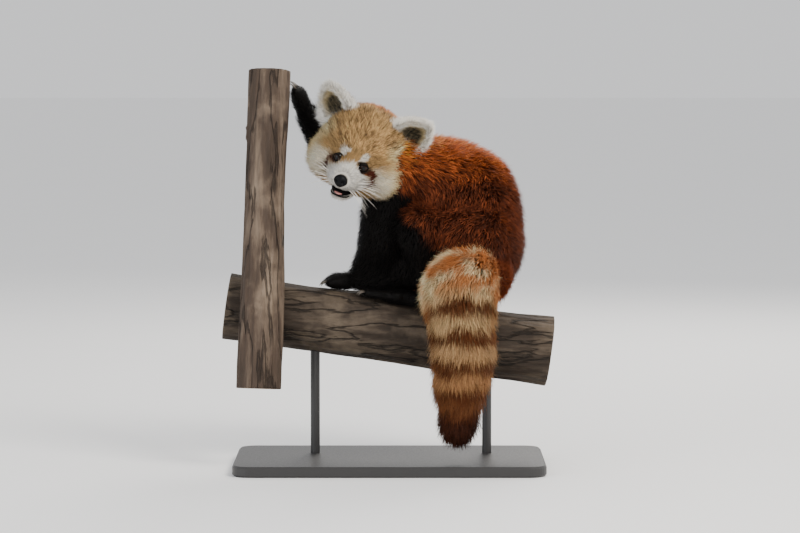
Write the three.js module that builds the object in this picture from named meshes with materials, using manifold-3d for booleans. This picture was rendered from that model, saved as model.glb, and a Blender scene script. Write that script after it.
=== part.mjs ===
// A red panda, life size, sitting hunched on a log with its head turned to the viewer.
// Its right forepaw holds an upright stem, and its ringed tail hangs over the front of the log.
// Millimetres, +Z up, +X to the viewer's right, -Y towards the viewer.
// The origin is on the stand's underside, straight below the middle of the log.
import * as THREE from "three";
import { MarchingCubes } from "three/addons/objects/MarchingCubes.js";
import { mergeVertices } from "three/addons/utils/BufferGeometryUtils.js";
import Module from "manifold-3d";

const wasm = await Module();
wasm.setup();

// Driving dimensions
const GAP = 0.35; // the clearance between nodes that touch
const Z = 262; // the height of the log's crest under the forepaw, from which the animal is placed
const BASE = { length: 460, width: 250, thickness: 16, corner: 26, x: -8, y: -38 };
const ROD = { radius: 7, xs: [-120, 138] };
const LOG = { left: [-252, 0, Z - 25], right: [232, 0, Z - 93], radii: [49, 53], sides: 24, rings: 8 };
const STEM = { foot: [-201, -78, Z - 140], top: [-187, -20, Z + 328], radius: 32, sides: 20, rings: 8 };
const TAIL = {
  path: [
    [146, 14, Z + 26], [138, -24, Z + 22], [116, -66, Z + 24], [97, -100, Z + 3],
    [99, -117, Z - 50], [98, -117, Z - 100], [95, -115, Z - 150], [92, -114, Z - 196],
  ],
  radius: { root: 30, full: 22, bend: 9, taper: 18 },
  cuts: [Z - 30, Z - 112],
  steps: 90,
};

const HEAD = { centre: [-53, -64, Z + 202], roll: 19, pitch: 16, yaw: -10 };
const NOSE = { centre: [0, -79, -19], size: [10.5, 7.5, 9.5] };
const NOSTRIL = { x: 5, size: [2.2, 4, 2.6] };
const EYE = { x: 19.8, y: -49.5, z: 3, radius: 8.4 };
const LID = { thickness: 2.3, turn: 0.42 };
const TONGUE = { centre: [0, -54, -42.5], size: [9, 17, 3] };
const COAT = { torso: 17, neck: 15, hindleg: 13, tail: 22, head: 9 }; // its depth from skin to tips
const LOCKS = {
  torso: { apart: 42, length: 66, width: 17, thickness: 4.5 },
  neck: { apart: 38, length: 48, width: 15, thickness: 4 },
  hindleg: { apart: 37, length: 54, width: 15, thickness: 4 },
  tail: { apart: 37, length: 58, width: 16, thickness: 4.5 },
  head: { apart: 33, length: 36, width: 12.5, thickness: 2.6 },
};
// How every lock is built: its root sunk in the core, its tips just under the coat's surface.
const LOCK = { steps: 3, sink: 5, under: 1.6, widths: [0.75, 1, 0.72, 0], clear: 2.5 };
const EAR = { x: 60, y: 16, z: 54, half: [30, 13, 37], lean: 0.68 };
const PAW = { fore: 16, hind: 15, spread: 9, claw: { radius: 2.2, length: 13 } };

// The body's joints, named as on the animal. Left is the side towards the viewer.
const BODY = {
  rump: [114, 5, Z + 72],
  loin: [98, 5, Z + 138],
  withers: [54, -4, Z + 158],
  chest: [8, -6, Z + 106],
  belly: [58, 2, Z + 62],
  groin: [20, 6, Z + 44],
  neck: [24, -22, Z + 176],
  nape: [-18, -42, Z + 194],
};
const NEAR_FORE = {
  shoulder: [-9, -46, Z + 134],
  elbow: [-18, -42, Z + 84],
  wrist: [-46, -14, Z + 30],
  palm: [-74, -10, Z + 14],
  toes: [-100, -8, Z + 13],
};
const FAR_FORE = {
  shoulder: [-4, 44, Z + 158],
  elbow: [-90, 30, Z + 200],
  wrist: [-128, 16, Z + 258],
  palm: [-140, 14, Z + 280],
  toes: [-147, 9, Z + 300],
};
const NEAR_HIND = {
  hip: [114, -40, Z + 80],
  knee: [36, -66, Z + 98],
  ankle: [50, -48, Z + 16],
  heel: [44, -35, Z - 12],
  toes: [-44, -31, Z - 1],
};
const FAR_HIND = {
  hip: [114, 50, Z + 80],
  knee: [38, 72, Z + 94],
  ankle: [50, 54, Z + 14],
  heel: [46, 36, Z - 14],
  toes: [-40, 33, Z - 3],
};

const COLOURS = {
  rust: 0x9c3d16,
  black: 0x17100d,
  white: 0xe9e2d4,
  tail: 0xb9622c,
  nose: 0x1a1d22,
  eye: 0x120c08,
  tongue: 0xb87468,
  bark: 0x5d4b3c,
  stand: 0x2b2a29,
};

// Materials
const finish = (color, roughness = 0.9, metalness = 0) =>
  new THREE.MeshStandardMaterial({ color, roughness, metalness });
const FUR = Object.fromEntries(
  Object.entries(COLOURS).map(([name, color]) => [name, finish(color)]),
);
FUR.nose.roughness = 0.35;
FUR.eye.roughness = 0.05;
FUR.tongue.roughness = 0.4;
FUR.stand.roughness = 0.5;

const v = (x, y, z) => new THREE.Vector3(x, y, z);

// Fields: a field is negative inside a form, and zero on its surface.

// A limb between two points, with a radius at each end.
function limb(a, b, ra, rb) {
  const [ax, ay, az] = a;
  const d = [b[0] - ax, b[1] - ay, b[2] - az];
  const dd = d[0] ** 2 + d[1] ** 2 + d[2] ** 2;
  return (x, y, z) => {
    const t = THREE.MathUtils.clamp(
      ((x - ax) * d[0] + (y - ay) * d[1] + (z - az) * d[2]) / dd, 0, 1,
    );
    return Math.hypot(x - ax - d[0] * t, y - ay - d[1] * t, z - az - d[2] * t) - ra - (rb - ra) * t;
  };
}

function ellipsoid([cx, cy, cz], [rx, ry, rz]) {
  return (x, y, z) => {
    const [px, py, pz] = [x - cx, y - cy, z - cz];
    const k0 = Math.hypot(px / rx, py / ry, pz / rz);
    const k1 = Math.hypot(px / rx ** 2, py / ry ** 2, pz / rz ** 2);
    return k1 > 0 ? (k0 * (k0 - 1)) / k1 : -Math.min(rx, ry, rz);
  };
}

// Joins fields with a rounded fillet about k wide.
const blend = (k, ...fields) => (x, y, z) =>
  fields.map((f) => f(x, y, z)).reduce((a, b) => {
    const h = Math.max(k - Math.abs(a - b), 0) / k;
    return Math.min(a, b) - h * h * k * 0.25;
  });

// A field given in another frame, such as the head's own.
function placed(matrix, field) {
  const inverse = matrix.clone().invert();
  const p = new THREE.Vector3();
  return (x, y, z) => {
    p.set(x, y, z).applyMatrix4(inverse);
    return field(p.x, p.y, p.z);
  };
}

const inset = (field, depth) => (x, y, z) => field(x, y, z) + depth;

// Solids

function solidOf(geometry) {
  const bare = new THREE.BufferGeometry();
  bare.setAttribute("position", geometry.getAttribute("position"));
  if (geometry.index) bare.setIndex(geometry.index);
  const merged = mergeVertices(bare, 1e-4);
  const mesh = new wasm.Mesh({
    numProp: 3,
    vertProperties: new Float32Array(merged.attributes.position.array),
    triVerts: new Uint32Array(merged.index.array),
  });
  mesh.merge();
  return new wasm.Manifold(mesh);
}

// The closed surface of a field, grown by a clearance, on a grid of the given cell about a box.
function formed(field, low, high, cell, grow = 0) {
  const centre = low.map((a, i) => (a + high[i]) / 2);
  const span = Math.max(...low.map((a, i) => high[i] - a));
  const n = Math.ceil(span / cell) + 5;
  const cubes = new MarchingCubes(n, new THREE.MeshBasicMaterial(), false, false, 40000);
  cubes.isolation = 0;
  const at = (i) => (i - n / 2) * cell;
  const nearest = 0.12 * cell; // keeps corners off the surface, so that no sliver forms
  let q = 0;
  for (let k = 0; k < n; k++)
    for (let j = 0; j < n; j++)
      for (let i = 0; i < n; i++, q++) {
        const value = -field(centre[0] + at(i), centre[1] + at(j), centre[2] + at(k));
        cubes.field[q] = grow + (Math.abs(value) < nearest ? (value < 0 ? -nearest : nearest) : value);
      }
  cubes.update();
  const used = cubes.positionArray.slice(0, cubes.count * 3);
  const half = (n / 2) * cell;
  const positions = used.map((a, i) => Math.round((centre[i % 3] + a * half) * 1e3) / 1e3);
  const g = new THREE.BufferGeometry();
  g.setAttribute("position", new THREE.BufferAttribute(positions, 3));
  return solidOf(g);
}

const largest = (solid) =>
  solid.decompose().reduce((a, b) => (b.volume() > a.volume() ? b : a));

function meshOf(name, solid, material) {
  const m = largest(largest(solid.simplify(0.05)).simplify(0.12)).getMesh();
  const g = new THREE.BufferGeometry();
  const positions = new Float32Array(m.numVert * 3);
  for (let i = 0; i < m.numVert; i++)
    positions.set(m.vertProperties.subarray(i * m.numProp, i * m.numProp + 3), i * 3);
  g.setAttribute("position", new THREE.BufferAttribute(positions, 3));
  g.setIndex(new THREE.BufferAttribute(new Uint32Array(m.triVerts), 1));
  g.computeVertexNormals();
  const mesh = new THREE.Mesh(g, material);
  mesh.name = name;
  return mesh;
}

const torso = blend(
  34,
  ellipsoid(BODY.rump, [84, 86, 94]),
  ellipsoid(BODY.loin, [90, 84, 84]),
  ellipsoid(BODY.withers, [72, 76, 76]),
  ellipsoid(BODY.chest, [64, 66, 66]),
  ellipsoid(BODY.belly, [70, 68, 66]),
  ellipsoid(BODY.groin, [46, 50, 46]),
);
const neck = limb(BODY.neck, BODY.nape, 66, 62);

// The head in its own frame: the face looks along -Y, the crown is up.
const headFrame = new THREE.Matrix4()
  .makeTranslation(...HEAD.centre)
  .multiply(new THREE.Matrix4().makeRotationY(THREE.MathUtils.degToRad(HEAD.roll)))
  .multiply(new THREE.Matrix4().makeRotationX(THREE.MathUtils.degToRad(HEAD.pitch)))
  .multiply(new THREE.Matrix4().makeRotationZ(THREE.MathUtils.degToRad(HEAD.yaw)));

// The skull with its cheeks, drawn in by the given depth where the coat is long.
const skull = (depth) => blend(
  22,
  ellipsoid([0, 16, 14], [66 - depth, 66 - depth, 62 - depth]),
  ellipsoid([-38, -3, -17], [37 - depth, 39 - depth, 35 - depth]),
  ellipsoid([38, -3, -17], [37 - depth, 39 - depth, 35 - depth]),
  ellipsoid([0, -36, -12], [30, 28, 28]),
  ellipsoid([0, 6, -26], [44 - depth, 44 - depth, 30 - depth]),
);
const muzzle = blend(
  10,
  ellipsoid([0, -57, -21], [23, 24, 15.5]),
  ellipsoid([0, -46, -12], [19, 24, 17]),
);
const face = placed(headFrame, blend(16, skull(0), muzzle));
const faceCore = placed(headFrame, blend(16, skull(COAT.head / 2), muzzle));
const inHead = (x, y, z) => v(x, y, z).applyMatrix4(headFrame);

// A limb's field: a chain of lengths with a fillet at each bend.
const chain = (k, points, radii) =>
  blend(k, ...points.slice(1).map((p, i) => limb(points[i], p, radii[i], radii[i + 1])));

const foreleg = (at) => chain(18, [at.shoulder, at.elbow, at.wrist], [42, 34, 23]);
const hindleg = (at) => chain(22, [at.hip, at.knee, at.ankle], [66, 36, 24]);

// A paw: the palm, and four toes fanned about its length.
function paw(from, to, radius, side) {
  const { spread } = PAW;
  const along = v(...to).sub(v(...from)).normalize();
  const across = v(...side).normalize();
  const toes = [-1.5, -0.5, 0.5, 1.5].map((i) => {
    const root = v(...from).lerp(v(...to), 0.45).addScaledVector(across, i * spread * 0.7);
    const tip = v(...to).addScaledVector(across, i * spread).addScaledVector(along, -Math.abs(i) * 2.5);
    return limb(root.toArray(), tip.toArray(), radius * 0.62, radius * 0.52);
  });
  return blend(5, limb(from, v(...from).lerp(v(...to), 0.55).toArray(), radius, radius * 0.95), ...toes);
}

const boxOf = (points, margin) => [
  [0, 1, 2].map((i) => Math.min(...points.map((p) => p[i])) - margin),
  [0, 1, 2].map((i) => Math.max(...points.map((p) => p[i])) + margin),
];

const group = new THREE.Group();
const made = []; // what later nodes are cut clear of, grown by the gap

function addForm(name, field, points, margin, cell, material, extra = (s) => s, whole = field) {
  const [low, high] = boxOf(points, margin);
  let solid = extra(formed(field, low, high, cell));
  for (const other of made) solid = solid.subtract(other);
  made.push(formed(whole, low, high, cell, GAP));
  group.add(meshOf(name, solid, material));
}

// Locks of the coat

function uphill(field, p) {
  const step = 0.5;
  return v(
    field(p.x + step, p.y, p.z) - field(p.x - step, p.y, p.z),
    field(p.x, p.y + step, p.z) - field(p.x, p.y - step, p.z),
    field(p.x, p.y, p.z + step) - field(p.x, p.y, p.z - step),
  ).normalize();
}

// A lock's centre line: it leaves the core, follows the coat's lie and rises to just under its surface.
function lockPath(field, root, lie, depth, length) {
  const p = root.clone();
  const path = [];
  for (let i = 0; i <= LOCK.steps; i++) {
    const height = THREE.MathUtils.lerp(-depth - LOCK.sink, -LOCK.under, (i / LOCK.steps) ** 0.8);
    for (let k = 0; k < 2; k++) p.addScaledVector(uphill(field, p), height - field(p.x, p.y, p.z));
    const out = uphill(field, p);
    const along = lie(p);
    along.addScaledVector(out, -along.dot(out)).normalize();
    path.push({ at: p.clone(), out, along });
    p.addScaledVector(along, length / LOCK.steps);
  }
  return path;
}

// A flat blade on a centre line: a cone of four sides, bent and flattened.
function lockSolid(path, width, thickness, grow) {
  const cone = new THREE.ConeGeometry(1, 1, 4, LOCK.steps);
  const p = cone.getAttribute("position");
  for (let i = 0; i < p.count; i++) {
    const at = Math.round((p.getY(i) + 0.5) * LOCK.steps);
    const { at: centre, out, along } = path[at];
    const side = along.clone().cross(out);
    const turn = Math.atan2(p.getZ(i), p.getX(i));
    const tip = at === LOCK.steps;
    const reach = LOCK.widths[at];
    const q = centre.clone().addScaledVector(along, tip ? 3 * grow : 0);
    if (!tip && Math.hypot(p.getX(i), p.getZ(i)) > 1e-6) {
      q.addScaledVector(side, Math.cos(turn) * (width * reach + 2 * grow));
      q.addScaledVector(out, Math.sin(turn) * (thickness * reach + 2 * grow));
    }
    p.setXYZ(i, q.x, q.y, q.z);
  }
  return solidOf(cone);
}

// A form that carries locks: a core half way to the coat's tips, with blades over it.
function addCoat(name, form, points, margin, cell, material, trim = (s) => s) {
  const { field, core, lie, size, depth, others, grows = () => true, smooth = false } = form;
  const [low, high] = boxOf(points, margin);
  const base = formed(core, low, high, cell);
  const found = base.getMesh().vertProperties;
  const roots = [];
  const locks = [];
  const clearances = [];
  const step = 7919; // visits the core's corners in a scattered order
  const count = found.length / 3;
  for (let i = 0; i < count; i++) {
    const k = ((i * step) % count) * 3;
    const root = v(found[k], found[k + 1], found[k + 2]);
    if (roots.some((r) => r.distanceTo(root) < size.apart) || !grows(root)) continue;
    for (const share of [1, 0.75, 0.55]) {
      const path = lockPath(field, root, lie, depth / 2, size.length * share);
      const free = path.slice(1).every(({ at, along, out }) => {
        const side = along.clone().cross(out).multiplyScalar(size.width * 0.6);
        return [at, at.clone().add(side), at.clone().sub(side)].every(
          (q) => others.every((other) => other(q.x, q.y, q.z) > LOCK.clear));
      });
      if (!free) continue;
      const width = size.width * (0.6 + 0.4 * share);
      roots.push(root);
      locks.push(lockSolid(path, width, size.thickness, 0));
      clearances.push(lockSolid(path, width, size.thickness, GAP));
      break;
    }
  }
  let solid = trim(wasm.Manifold.union([base, ...locks]));
  for (const other of made) solid = solid.subtract(other);
  group.add(meshOf(name, solid, material));
  made.push(smooth
    ? formed(field, low, high, cell, GAP)
    : wasm.Manifold.union([formed(core, low, high, cell, GAP), ...clearances]));
}

// Stand and perch

function roundedPlate() {
  const { length, width, thickness, corner } = BASE;
  const outline = new THREE.Shape();
  const [hx, hy] = [length / 2, width / 2];
  outline.moveTo(-hx + corner, -hy);
  outline.lineTo(hx - corner, -hy);
  outline.absarc(hx - corner, -hy + corner, corner, -Math.PI / 2, 0);
  outline.absarc(hx - corner, hy - corner, corner, 0, Math.PI / 2);
  outline.absarc(-hx + corner, hy - corner, corner, Math.PI / 2, Math.PI);
  outline.absarc(-hx + corner, -hy + corner, corner, Math.PI, 1.5 * Math.PI);
  const g = new THREE.ExtrudeGeometry(outline, {
    depth: thickness - 6, bevelEnabled: true, bevelThickness: 3, bevelSize: 3, bevelOffset: -3,
    bevelSegments: 1, curveSegments: 4,
  });
  return g.translate(BASE.x, BASE.y, 3);
}

// A branch: a cylinder along an axis, with a gentle unevenness round and along it.
function branch({ from, to, radii, sides, rings, seed, grow = 0 }) {
  const axis = v(...to).sub(v(...from));
  const g = new THREE.CylinderGeometry(radii[1], radii[0], axis.length(), sides, rings);
  const p = g.getAttribute("position");
  for (let i = 0; i < p.count; i++) {
    const [x, y, z] = [p.getX(i), p.getY(i), p.getZ(i)];
    const turn = Math.atan2(z, x);
    const swell = 1
      + 0.035 * Math.sin(2 * turn + seed + y * 0.009)
      + 0.022 * Math.sin(5 * turn + seed * 2 + y * 0.02)
      + 0.03 * Math.sin(y * 0.017 + seed)
      + grow / radii[0];
    p.setXYZ(i, x * swell, y, z * swell);
  }
  const turn = new THREE.Quaternion().setFromUnitVectors(v(0, 1, 0), axis.clone().normalize());
  g.applyMatrix4(new THREE.Matrix4().makeRotationFromQuaternion(turn));
  const middle = v(...from).lerp(v(...to), 0.5);
  return solidOf(g.translate(middle.x, middle.y, middle.z));
}

const logShape = {
  from: LOG.left, to: LOG.right, radii: LOG.radii, sides: LOG.sides, rings: LOG.rings, seed: 1.3,
};
const stemShape = {
  from: STEM.foot, to: STEM.top, radii: [STEM.radius, STEM.radius * 0.97],
  sides: STEM.sides, rings: STEM.rings, seed: 4.1,
};
const logGrown = branch({ ...logShape, grow: GAP });
group.add(meshOf("perch_log", branch(logShape), FUR.bark));
made.push(logGrown);
group.add(meshOf("perch_stem", branch(stemShape).subtract(logGrown), FUR.bark));
made.push(branch({ ...stemShape, grow: GAP }));

group.add(meshOf("stand_base", solidOf(roundedPlate()), FUR.stand));
ROD.xs.forEach((x, i) => {
  const height = Z - 60 - BASE.thickness;
  const rod = new THREE.CylinderGeometry(ROD.radius, ROD.radius, height, 20)
    .rotateX(Math.PI / 2)
    .translate(x, 0, BASE.thickness + GAP + height / 2);
  group.add(meshOf(`stand_rod_${i + 1}`, solidOf(rod).subtract(logGrown), FUR.stand));
});

// Tail: a root under the rump, a bend over the log's front edge, and the hanging length.
const tailCurve = new THREE.CatmullRomCurve3(TAIL.path.map((p) => v(...p)));
const tailRadius = (t) => {
  const rise = THREE.MathUtils.smoothstep(t, 0, 0.22);
  const bend = Math.exp(-(((t - 0.36) / 0.13) ** 2));
  const fall = THREE.MathUtils.smoothstep(t, 0.5, 1);
  const { root, full, bend: swell, taper } = TAIL.radius;
  return root + full * rise + swell * bend - taper * fall * fall;
};
const tailSamples = Array.from({ length: TAIL.steps + 1 }, (_, i) => {
  const t = i / TAIL.steps;
  const p = tailCurve.getPointAt(t);
  return { x: p.x, y: p.y, z: p.z, r: tailRadius(t) };
});
const tail = (x, y, z) =>
  tailSamples.reduce((best, s) => Math.min(best, Math.hypot(x - s.x, y - s.y, z - s.z) - s.r), 1e9);
const slab = (low, high) =>
  solidOf(new THREE.BoxGeometry(800, 800, high - low).translate(0, 0, (low + high) / 2));

// How the hair runs: from the neck to the rump, down the flank and down each leg.
const bones = [
  [BODY.nape, BODY.neck], [BODY.neck, BODY.withers], [BODY.withers, BODY.loin], [BODY.loin, BODY.rump],
  [BODY.rump, [138, 5, Z + 20]], [BODY.chest, BODY.belly],
  ...[NEAR_HIND, FAR_HIND].flatMap((at) => [
    [[112, at.hip[1], Z + 130], at.knee], [at.knee, at.ankle],
  ]),
].map(([a, b]) => ({ near: limb(a, b, 20, 20), along: v(...b).sub(v(...a)).normalize() }));
function bodyLie(p) {
  const total = v(0, 0, 0);
  for (const { near, along } of bones)
    total.addScaledVector(along, Math.exp(-Math.max(near(p.x, p.y, p.z), 0) / 16));
  total.normalize();
  const high = THREE.MathUtils.smoothstep(p.z, Z + 60, Z + 120) * THREE.MathUtils.smoothstep(p.x, 0, 40);
  return total.add(v(0.28, 0, -0.64).multiplyScalar(high));
}
const tailLie = (p) => {
  const i = tailSamples.reduce((best, s, k) => {
    const d = Math.hypot(p.x - s.x, p.y - s.y, p.z - s.z) - s.r;
    return d < best[0] ? [d, k] : best;
  }, [1e9, 0])[1];
  return tailCurve.getTangentAt(i / TAIL.steps);
};
const nose = inHead(0, -80, -18);
const headLie = (p) => p.clone().sub(nose).add(v(0, 0, -10));

// Each form as the coat's neighbours see it
const perch = [
  limb(LOG.left, LOG.right, LOG.radii[0] + 2, LOG.radii[1] + 2),
  limb(STEM.foot, STEM.top, STEM.radius + 2, STEM.radius + 2),
];
const half = (field, depth) => inset(field, depth / 2);
const forepaws = [NEAR_FORE, FAR_FORE].map((at) => paw(at.palm, at.toes, PAW.fore, [0, 1, 0]));
const hindpaws = [NEAR_HIND, FAR_HIND].map((at) => paw(at.heel, at.toes, PAW.hind, [0, 1, 0]));
const ears = [-1, 1].map((sign) =>
  placed(headFrame, ellipsoid([sign * EAR.x, EAR.y, EAR.z], [34, 20, 38])));
const paws = [...perch, ...forepaws, ...hindpaws];
const forelegs = [foreleg(NEAR_FORE), foreleg(FAR_FORE)];
const hindlegs = [hindleg(NEAR_HIND), hindleg(FAR_HIND)].map((f) => half(f, COAT.hindleg));

addCoat("torso", {
  field: torso, core: half(torso, COAT.torso), lie: bodyLie, size: LOCKS.torso, depth: COAT.torso,
  others: [
    ...paws, ...forelegs, ...hindlegs, ...ears, half(tail, COAT.tail), faceCore, half(neck, COAT.neck),
  ],
}, [BODY.rump, BODY.loin, BODY.withers, BODY.chest, BODY.belly, BODY.groin], 100, 28, FUR.rust);

// The tail's two upper lengths carry locks, and its tip is one smooth form.
const tailLengths = [
  ["tail_base", TAIL.cuts[0] + GAP, Z + 200],
  ["tail_middle", TAIL.cuts[1] + GAP, TAIL.cuts[0]],
];
const tailPoints = tailSamples.map((s) => [s.x, s.y, s.z]);
const tailCell = 18;
const floor = (x, y, z) => z - BASE.thickness;
const beforeTail = made.length;
for (const [name, low, high] of tailLengths) {
  addCoat(name, {
    field: tail, core: half(tail, COAT.tail), lie: tailLie, size: LOCKS.tail, depth: COAT.tail,
    others: [...paws, half(torso, COAT.torso), ...hindlegs, floor],
  }, tailPoints, 60, tailCell, FUR.tail, (s) => s.intersect(slab(low, high)));
  made.length = beforeTail;
}
addForm("tail_tip", tail, tailPoints, 60, 13.5, FUR.tail, (s) => s.intersect(slab(0, TAIL.cuts[1])));
made.length = beforeTail;
made.push(formed(tail, ...boxOf(tailPoints, 60), tailCell, GAP));

// Eyes, nose and tongue, which the head and jaw are cut to fit.
function ball([cx, cy, cz], [rx, ry, rz], around, rings, frame = headFrame) {
  const g = new THREE.SphereGeometry(1, around, rings);
  return solidOf(g.scale(rx, ry, rz).translate(cx, cy, cz).applyMatrix4(frame));
}
const grown = (size) => size.map((a) => a + GAP);
for (const [side, sign] of [["right", -1], ["left", 1]]) {
  const at = [sign * EYE.x, EYE.y, EYE.z];
  const size = [EYE.radius, EYE.radius, EYE.radius];
  group.add(meshOf(`eye_${side}`, ball(at, size, 12, 8), FUR.eye));
  made.push(ball(at, grown(size), 12, 8));
}
const nostril = (sign) =>
  ball([sign * NOSTRIL.x, NOSE.centre[1] - 6.5, NOSE.centre[2] + 0.5], NOSTRIL.size, 6, 4);
group.add(meshOf("nose", ball(NOSE.centre, NOSE.size, 12, 8)
  .subtract(nostril(-1)).subtract(nostril(1)), FUR.nose));
made.push(ball(NOSE.centre, grown(NOSE.size), 12, 8));
group.add(meshOf("tongue", ball(TONGUE.centre, TONGUE.size, 12, 6), FUR.tongue));
made.push(ball(TONGUE.centre, grown(TONGUE.size), 12, 6));

// Head: the skull with its cheeks, a finer muzzle, and the lids round each eye.
function lids() {
  return [-1, 1].map((sign) => {
    const ring = new THREE.TorusGeometry(EYE.radius + 0.6, LID.thickness, 4, 10)
      .rotateX(Math.PI / 2)
      .rotateZ(sign * LID.turn)
      .translate(sign * (EYE.x + 1.2), EYE.y - 2.2, EYE.z);
    return solidOf(ring.applyMatrix4(headFrame));
  });
}
// How far a point lies behind the bare-looking mask of the face.
function behindFace(p) {
  const q = p.clone().applyMatrix4(headFrame.clone().invert());
  return q.y + 26 + 0.2 * (Math.abs(q.x) - 30);
}
const muzzleField = placed(headFrame, muzzle);
const muzzlePoints = [inHead(-26, -86, -38), inHead(26, -40, 4), inHead(0, -86, -38)]
  .map((p) => p.toArray());
addCoat("head", {
  field: face, core: faceCore, lie: headLie, size: LOCKS.head, depth: COAT.head, others: ears,
  grows: (p) => behindFace(p) > 0, smooth: true,
}, [HEAD.centre], 100, 14, FUR.white, (s) =>
  lids().reduce((a, b) => a.add(b), s.add(formed(muzzleField, ...boxOf(muzzlePoints, 12), 7.5))));
made.push(formed(muzzleField, ...boxOf(muzzlePoints, 12), 7.5, GAP));

const jaw = placed(headFrame, blend(
  8,
  ellipsoid([0, -50, -49.5], [15, 21, 6.5]),
  ellipsoid([0, -34, -48], [18, 20, 10]),
));
const jawPoints = [inHead(0, -50, -50), inHead(0, -34, -48)].map((p) => p.toArray());
addForm("jaw", jaw, jawPoints, 30, 6, FUR.white);

for (const [side, sign] of [["right", -1], ["left", 1]]) {
  const frame = headFrame.clone()
    .multiply(new THREE.Matrix4().makeTranslation(sign * EAR.x, EAR.y, EAR.z))
    .multiply(new THREE.Matrix4().makeRotationY(sign * EAR.lean))
    .multiply(new THREE.Matrix4().makeRotationZ(sign * 0.3));
  const [w, t, h] = EAR.half;
  const outer = ellipsoid([0, 0, 0], [w, t, h]);
  const cup = ellipsoid([0, -t * 0.95, 2], [w * 0.72, t * 1.15, h * 0.74]);
  const ear = placed(frame, (x, y, z) => Math.max(outer(x, y, z), -cup(x, y, z)));
  addForm(`ear_${side}`, ear, [v(0, 0, 0).applyMatrix4(frame).toArray()], 46, 6.8, FUR.white,
    (s) => s, inset(placed(frame, outer), -1));
}

addCoat("neck", {
  field: neck, core: half(neck, COAT.neck), lie: bodyLie, size: LOCKS.neck, depth: COAT.neck,
  others: [...paws, ...forelegs, face, half(torso, COAT.torso), ...ears],
}, [BODY.neck, BODY.nape], 74, 27, FUR.rust);

// Legs and paws
function claws(from, to, radius, side) {
  const along = v(...to).sub(v(...from)).normalize();
  const across = v(...side).normalize();
  return [-1.5, -0.5, 0.5, 1.5].map((i) => {
    const tip = v(...to)
      .addScaledVector(across, i * PAW.spread)
      .addScaledVector(along, radius * 0.5 - Math.abs(i) * 2.5);
    const cone = new THREE.ConeGeometry(PAW.claw.radius, PAW.claw.length, 5);
    const turn = new THREE.Quaternion().setFromUnitVectors(v(0, 1, 0), along);
    cone.applyMatrix4(new THREE.Matrix4().makeRotationFromQuaternion(turn));
    return solidOf(cone.translate(tip.x, tip.y, tip.z + 1));
  });
}

function addPaw(name, from, to, radius, side, cell) {
  addForm(name, paw(from, to, radius, side), [from, to], 30, cell, FUR.black, (s) =>
    claws(from, to, radius, side).reduce((a, b) => a.add(b), s));
}

for (const [side, fore, hind] of [["left", NEAR_FORE, NEAR_HIND], ["right", FAR_FORE, FAR_HIND]]) {
  addForm(`foreleg_${side}`, foreleg(fore), [fore.shoulder, fore.elbow, fore.wrist], 50, 15, FUR.black);
  addCoat(`hindleg_${side}`, {
    field: hindleg(hind), core: half(hindleg(hind), COAT.hindleg), lie: bodyLie, size: LOCKS.hindleg,
    depth: COAT.hindleg,
    others: [...paws, ...forelegs, half(torso, COAT.torso), tail],
  }, [hind.hip, hind.knee, hind.ankle], 75, 20, FUR.rust);
  const foreSide = side === "right" ? [0.2, 1, 0] : [0, 1, 0];
  addPaw(`forepaw_${side}`, fore.palm, fore.toes, PAW.fore, foreSide, 8.2);
  addPaw(`hindpaw_${side}`, hind.heel, hind.toes, PAW.hind, [0, 1, 0], 9.5);
}

export default group;
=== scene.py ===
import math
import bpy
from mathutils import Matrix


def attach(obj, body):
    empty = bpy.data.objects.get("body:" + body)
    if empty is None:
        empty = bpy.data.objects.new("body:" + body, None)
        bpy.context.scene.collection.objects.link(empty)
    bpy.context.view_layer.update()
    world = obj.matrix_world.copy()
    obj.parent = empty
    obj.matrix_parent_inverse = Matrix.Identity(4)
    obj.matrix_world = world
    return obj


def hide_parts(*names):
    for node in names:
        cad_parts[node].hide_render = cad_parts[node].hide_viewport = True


bl_info = {
    "name": "Red Panda on a Log",
    "version": (1, 0, 0),
    "blender": (4, 5, 0),
    "location": "View3D > Sidebar > Red Panda",
    "description": "Builds a life-size red panda with its coat, log, stem and display stand",
    "category": "Object",
}

import bmesh
import bpy
import numpy as np
from bpy.props import FloatProperty, FloatVectorProperty, IntProperty, PointerProperty
from mathutils import Matrix, Vector

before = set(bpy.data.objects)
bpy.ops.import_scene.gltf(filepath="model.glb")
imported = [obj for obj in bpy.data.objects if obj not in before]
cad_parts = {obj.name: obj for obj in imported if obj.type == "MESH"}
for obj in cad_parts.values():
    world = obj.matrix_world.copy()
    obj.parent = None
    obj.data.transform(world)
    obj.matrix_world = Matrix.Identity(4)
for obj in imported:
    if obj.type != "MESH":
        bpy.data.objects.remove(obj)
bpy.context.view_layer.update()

MM = 0.001

# The body's joints in millimetres, as in the frame: Z is the log's crest under the forepaw.
Z = 262
BODY = {
    "rump": (114, 5, Z + 72), "loin": (98, 5, Z + 138), "withers": (54, -4, Z + 158),
    "chest": (8, -6, Z + 106), "belly": (58, 2, Z + 62), "groin": (20, 6, Z + 44),
    "neck": (24, -22, Z + 176), "nape": (-18, -42, Z + 194),
}
NEAR_FORE = {
    "shoulder": (-9, -46, Z + 134), "elbow": (-18, -42, Z + 84), "wrist": (-46, -14, Z + 30),
    "palm": (-74, -10, Z + 14), "toes": (-100, -8, Z + 13),
}
FAR_FORE = {
    "shoulder": (-4, 44, Z + 158), "elbow": (-90, 30, Z + 200), "wrist": (-128, 16, Z + 258),
    "palm": (-140, 14, Z + 280), "toes": (-147, 9, Z + 300),
}
NEAR_HIND = {
    "hip": (114, -40, Z + 80), "knee": (36, -66, Z + 98), "ankle": (50, -48, Z + 16),
    "heel": (44, -35, Z - 12), "toes": (-44, -31, Z - 1),
}
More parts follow.
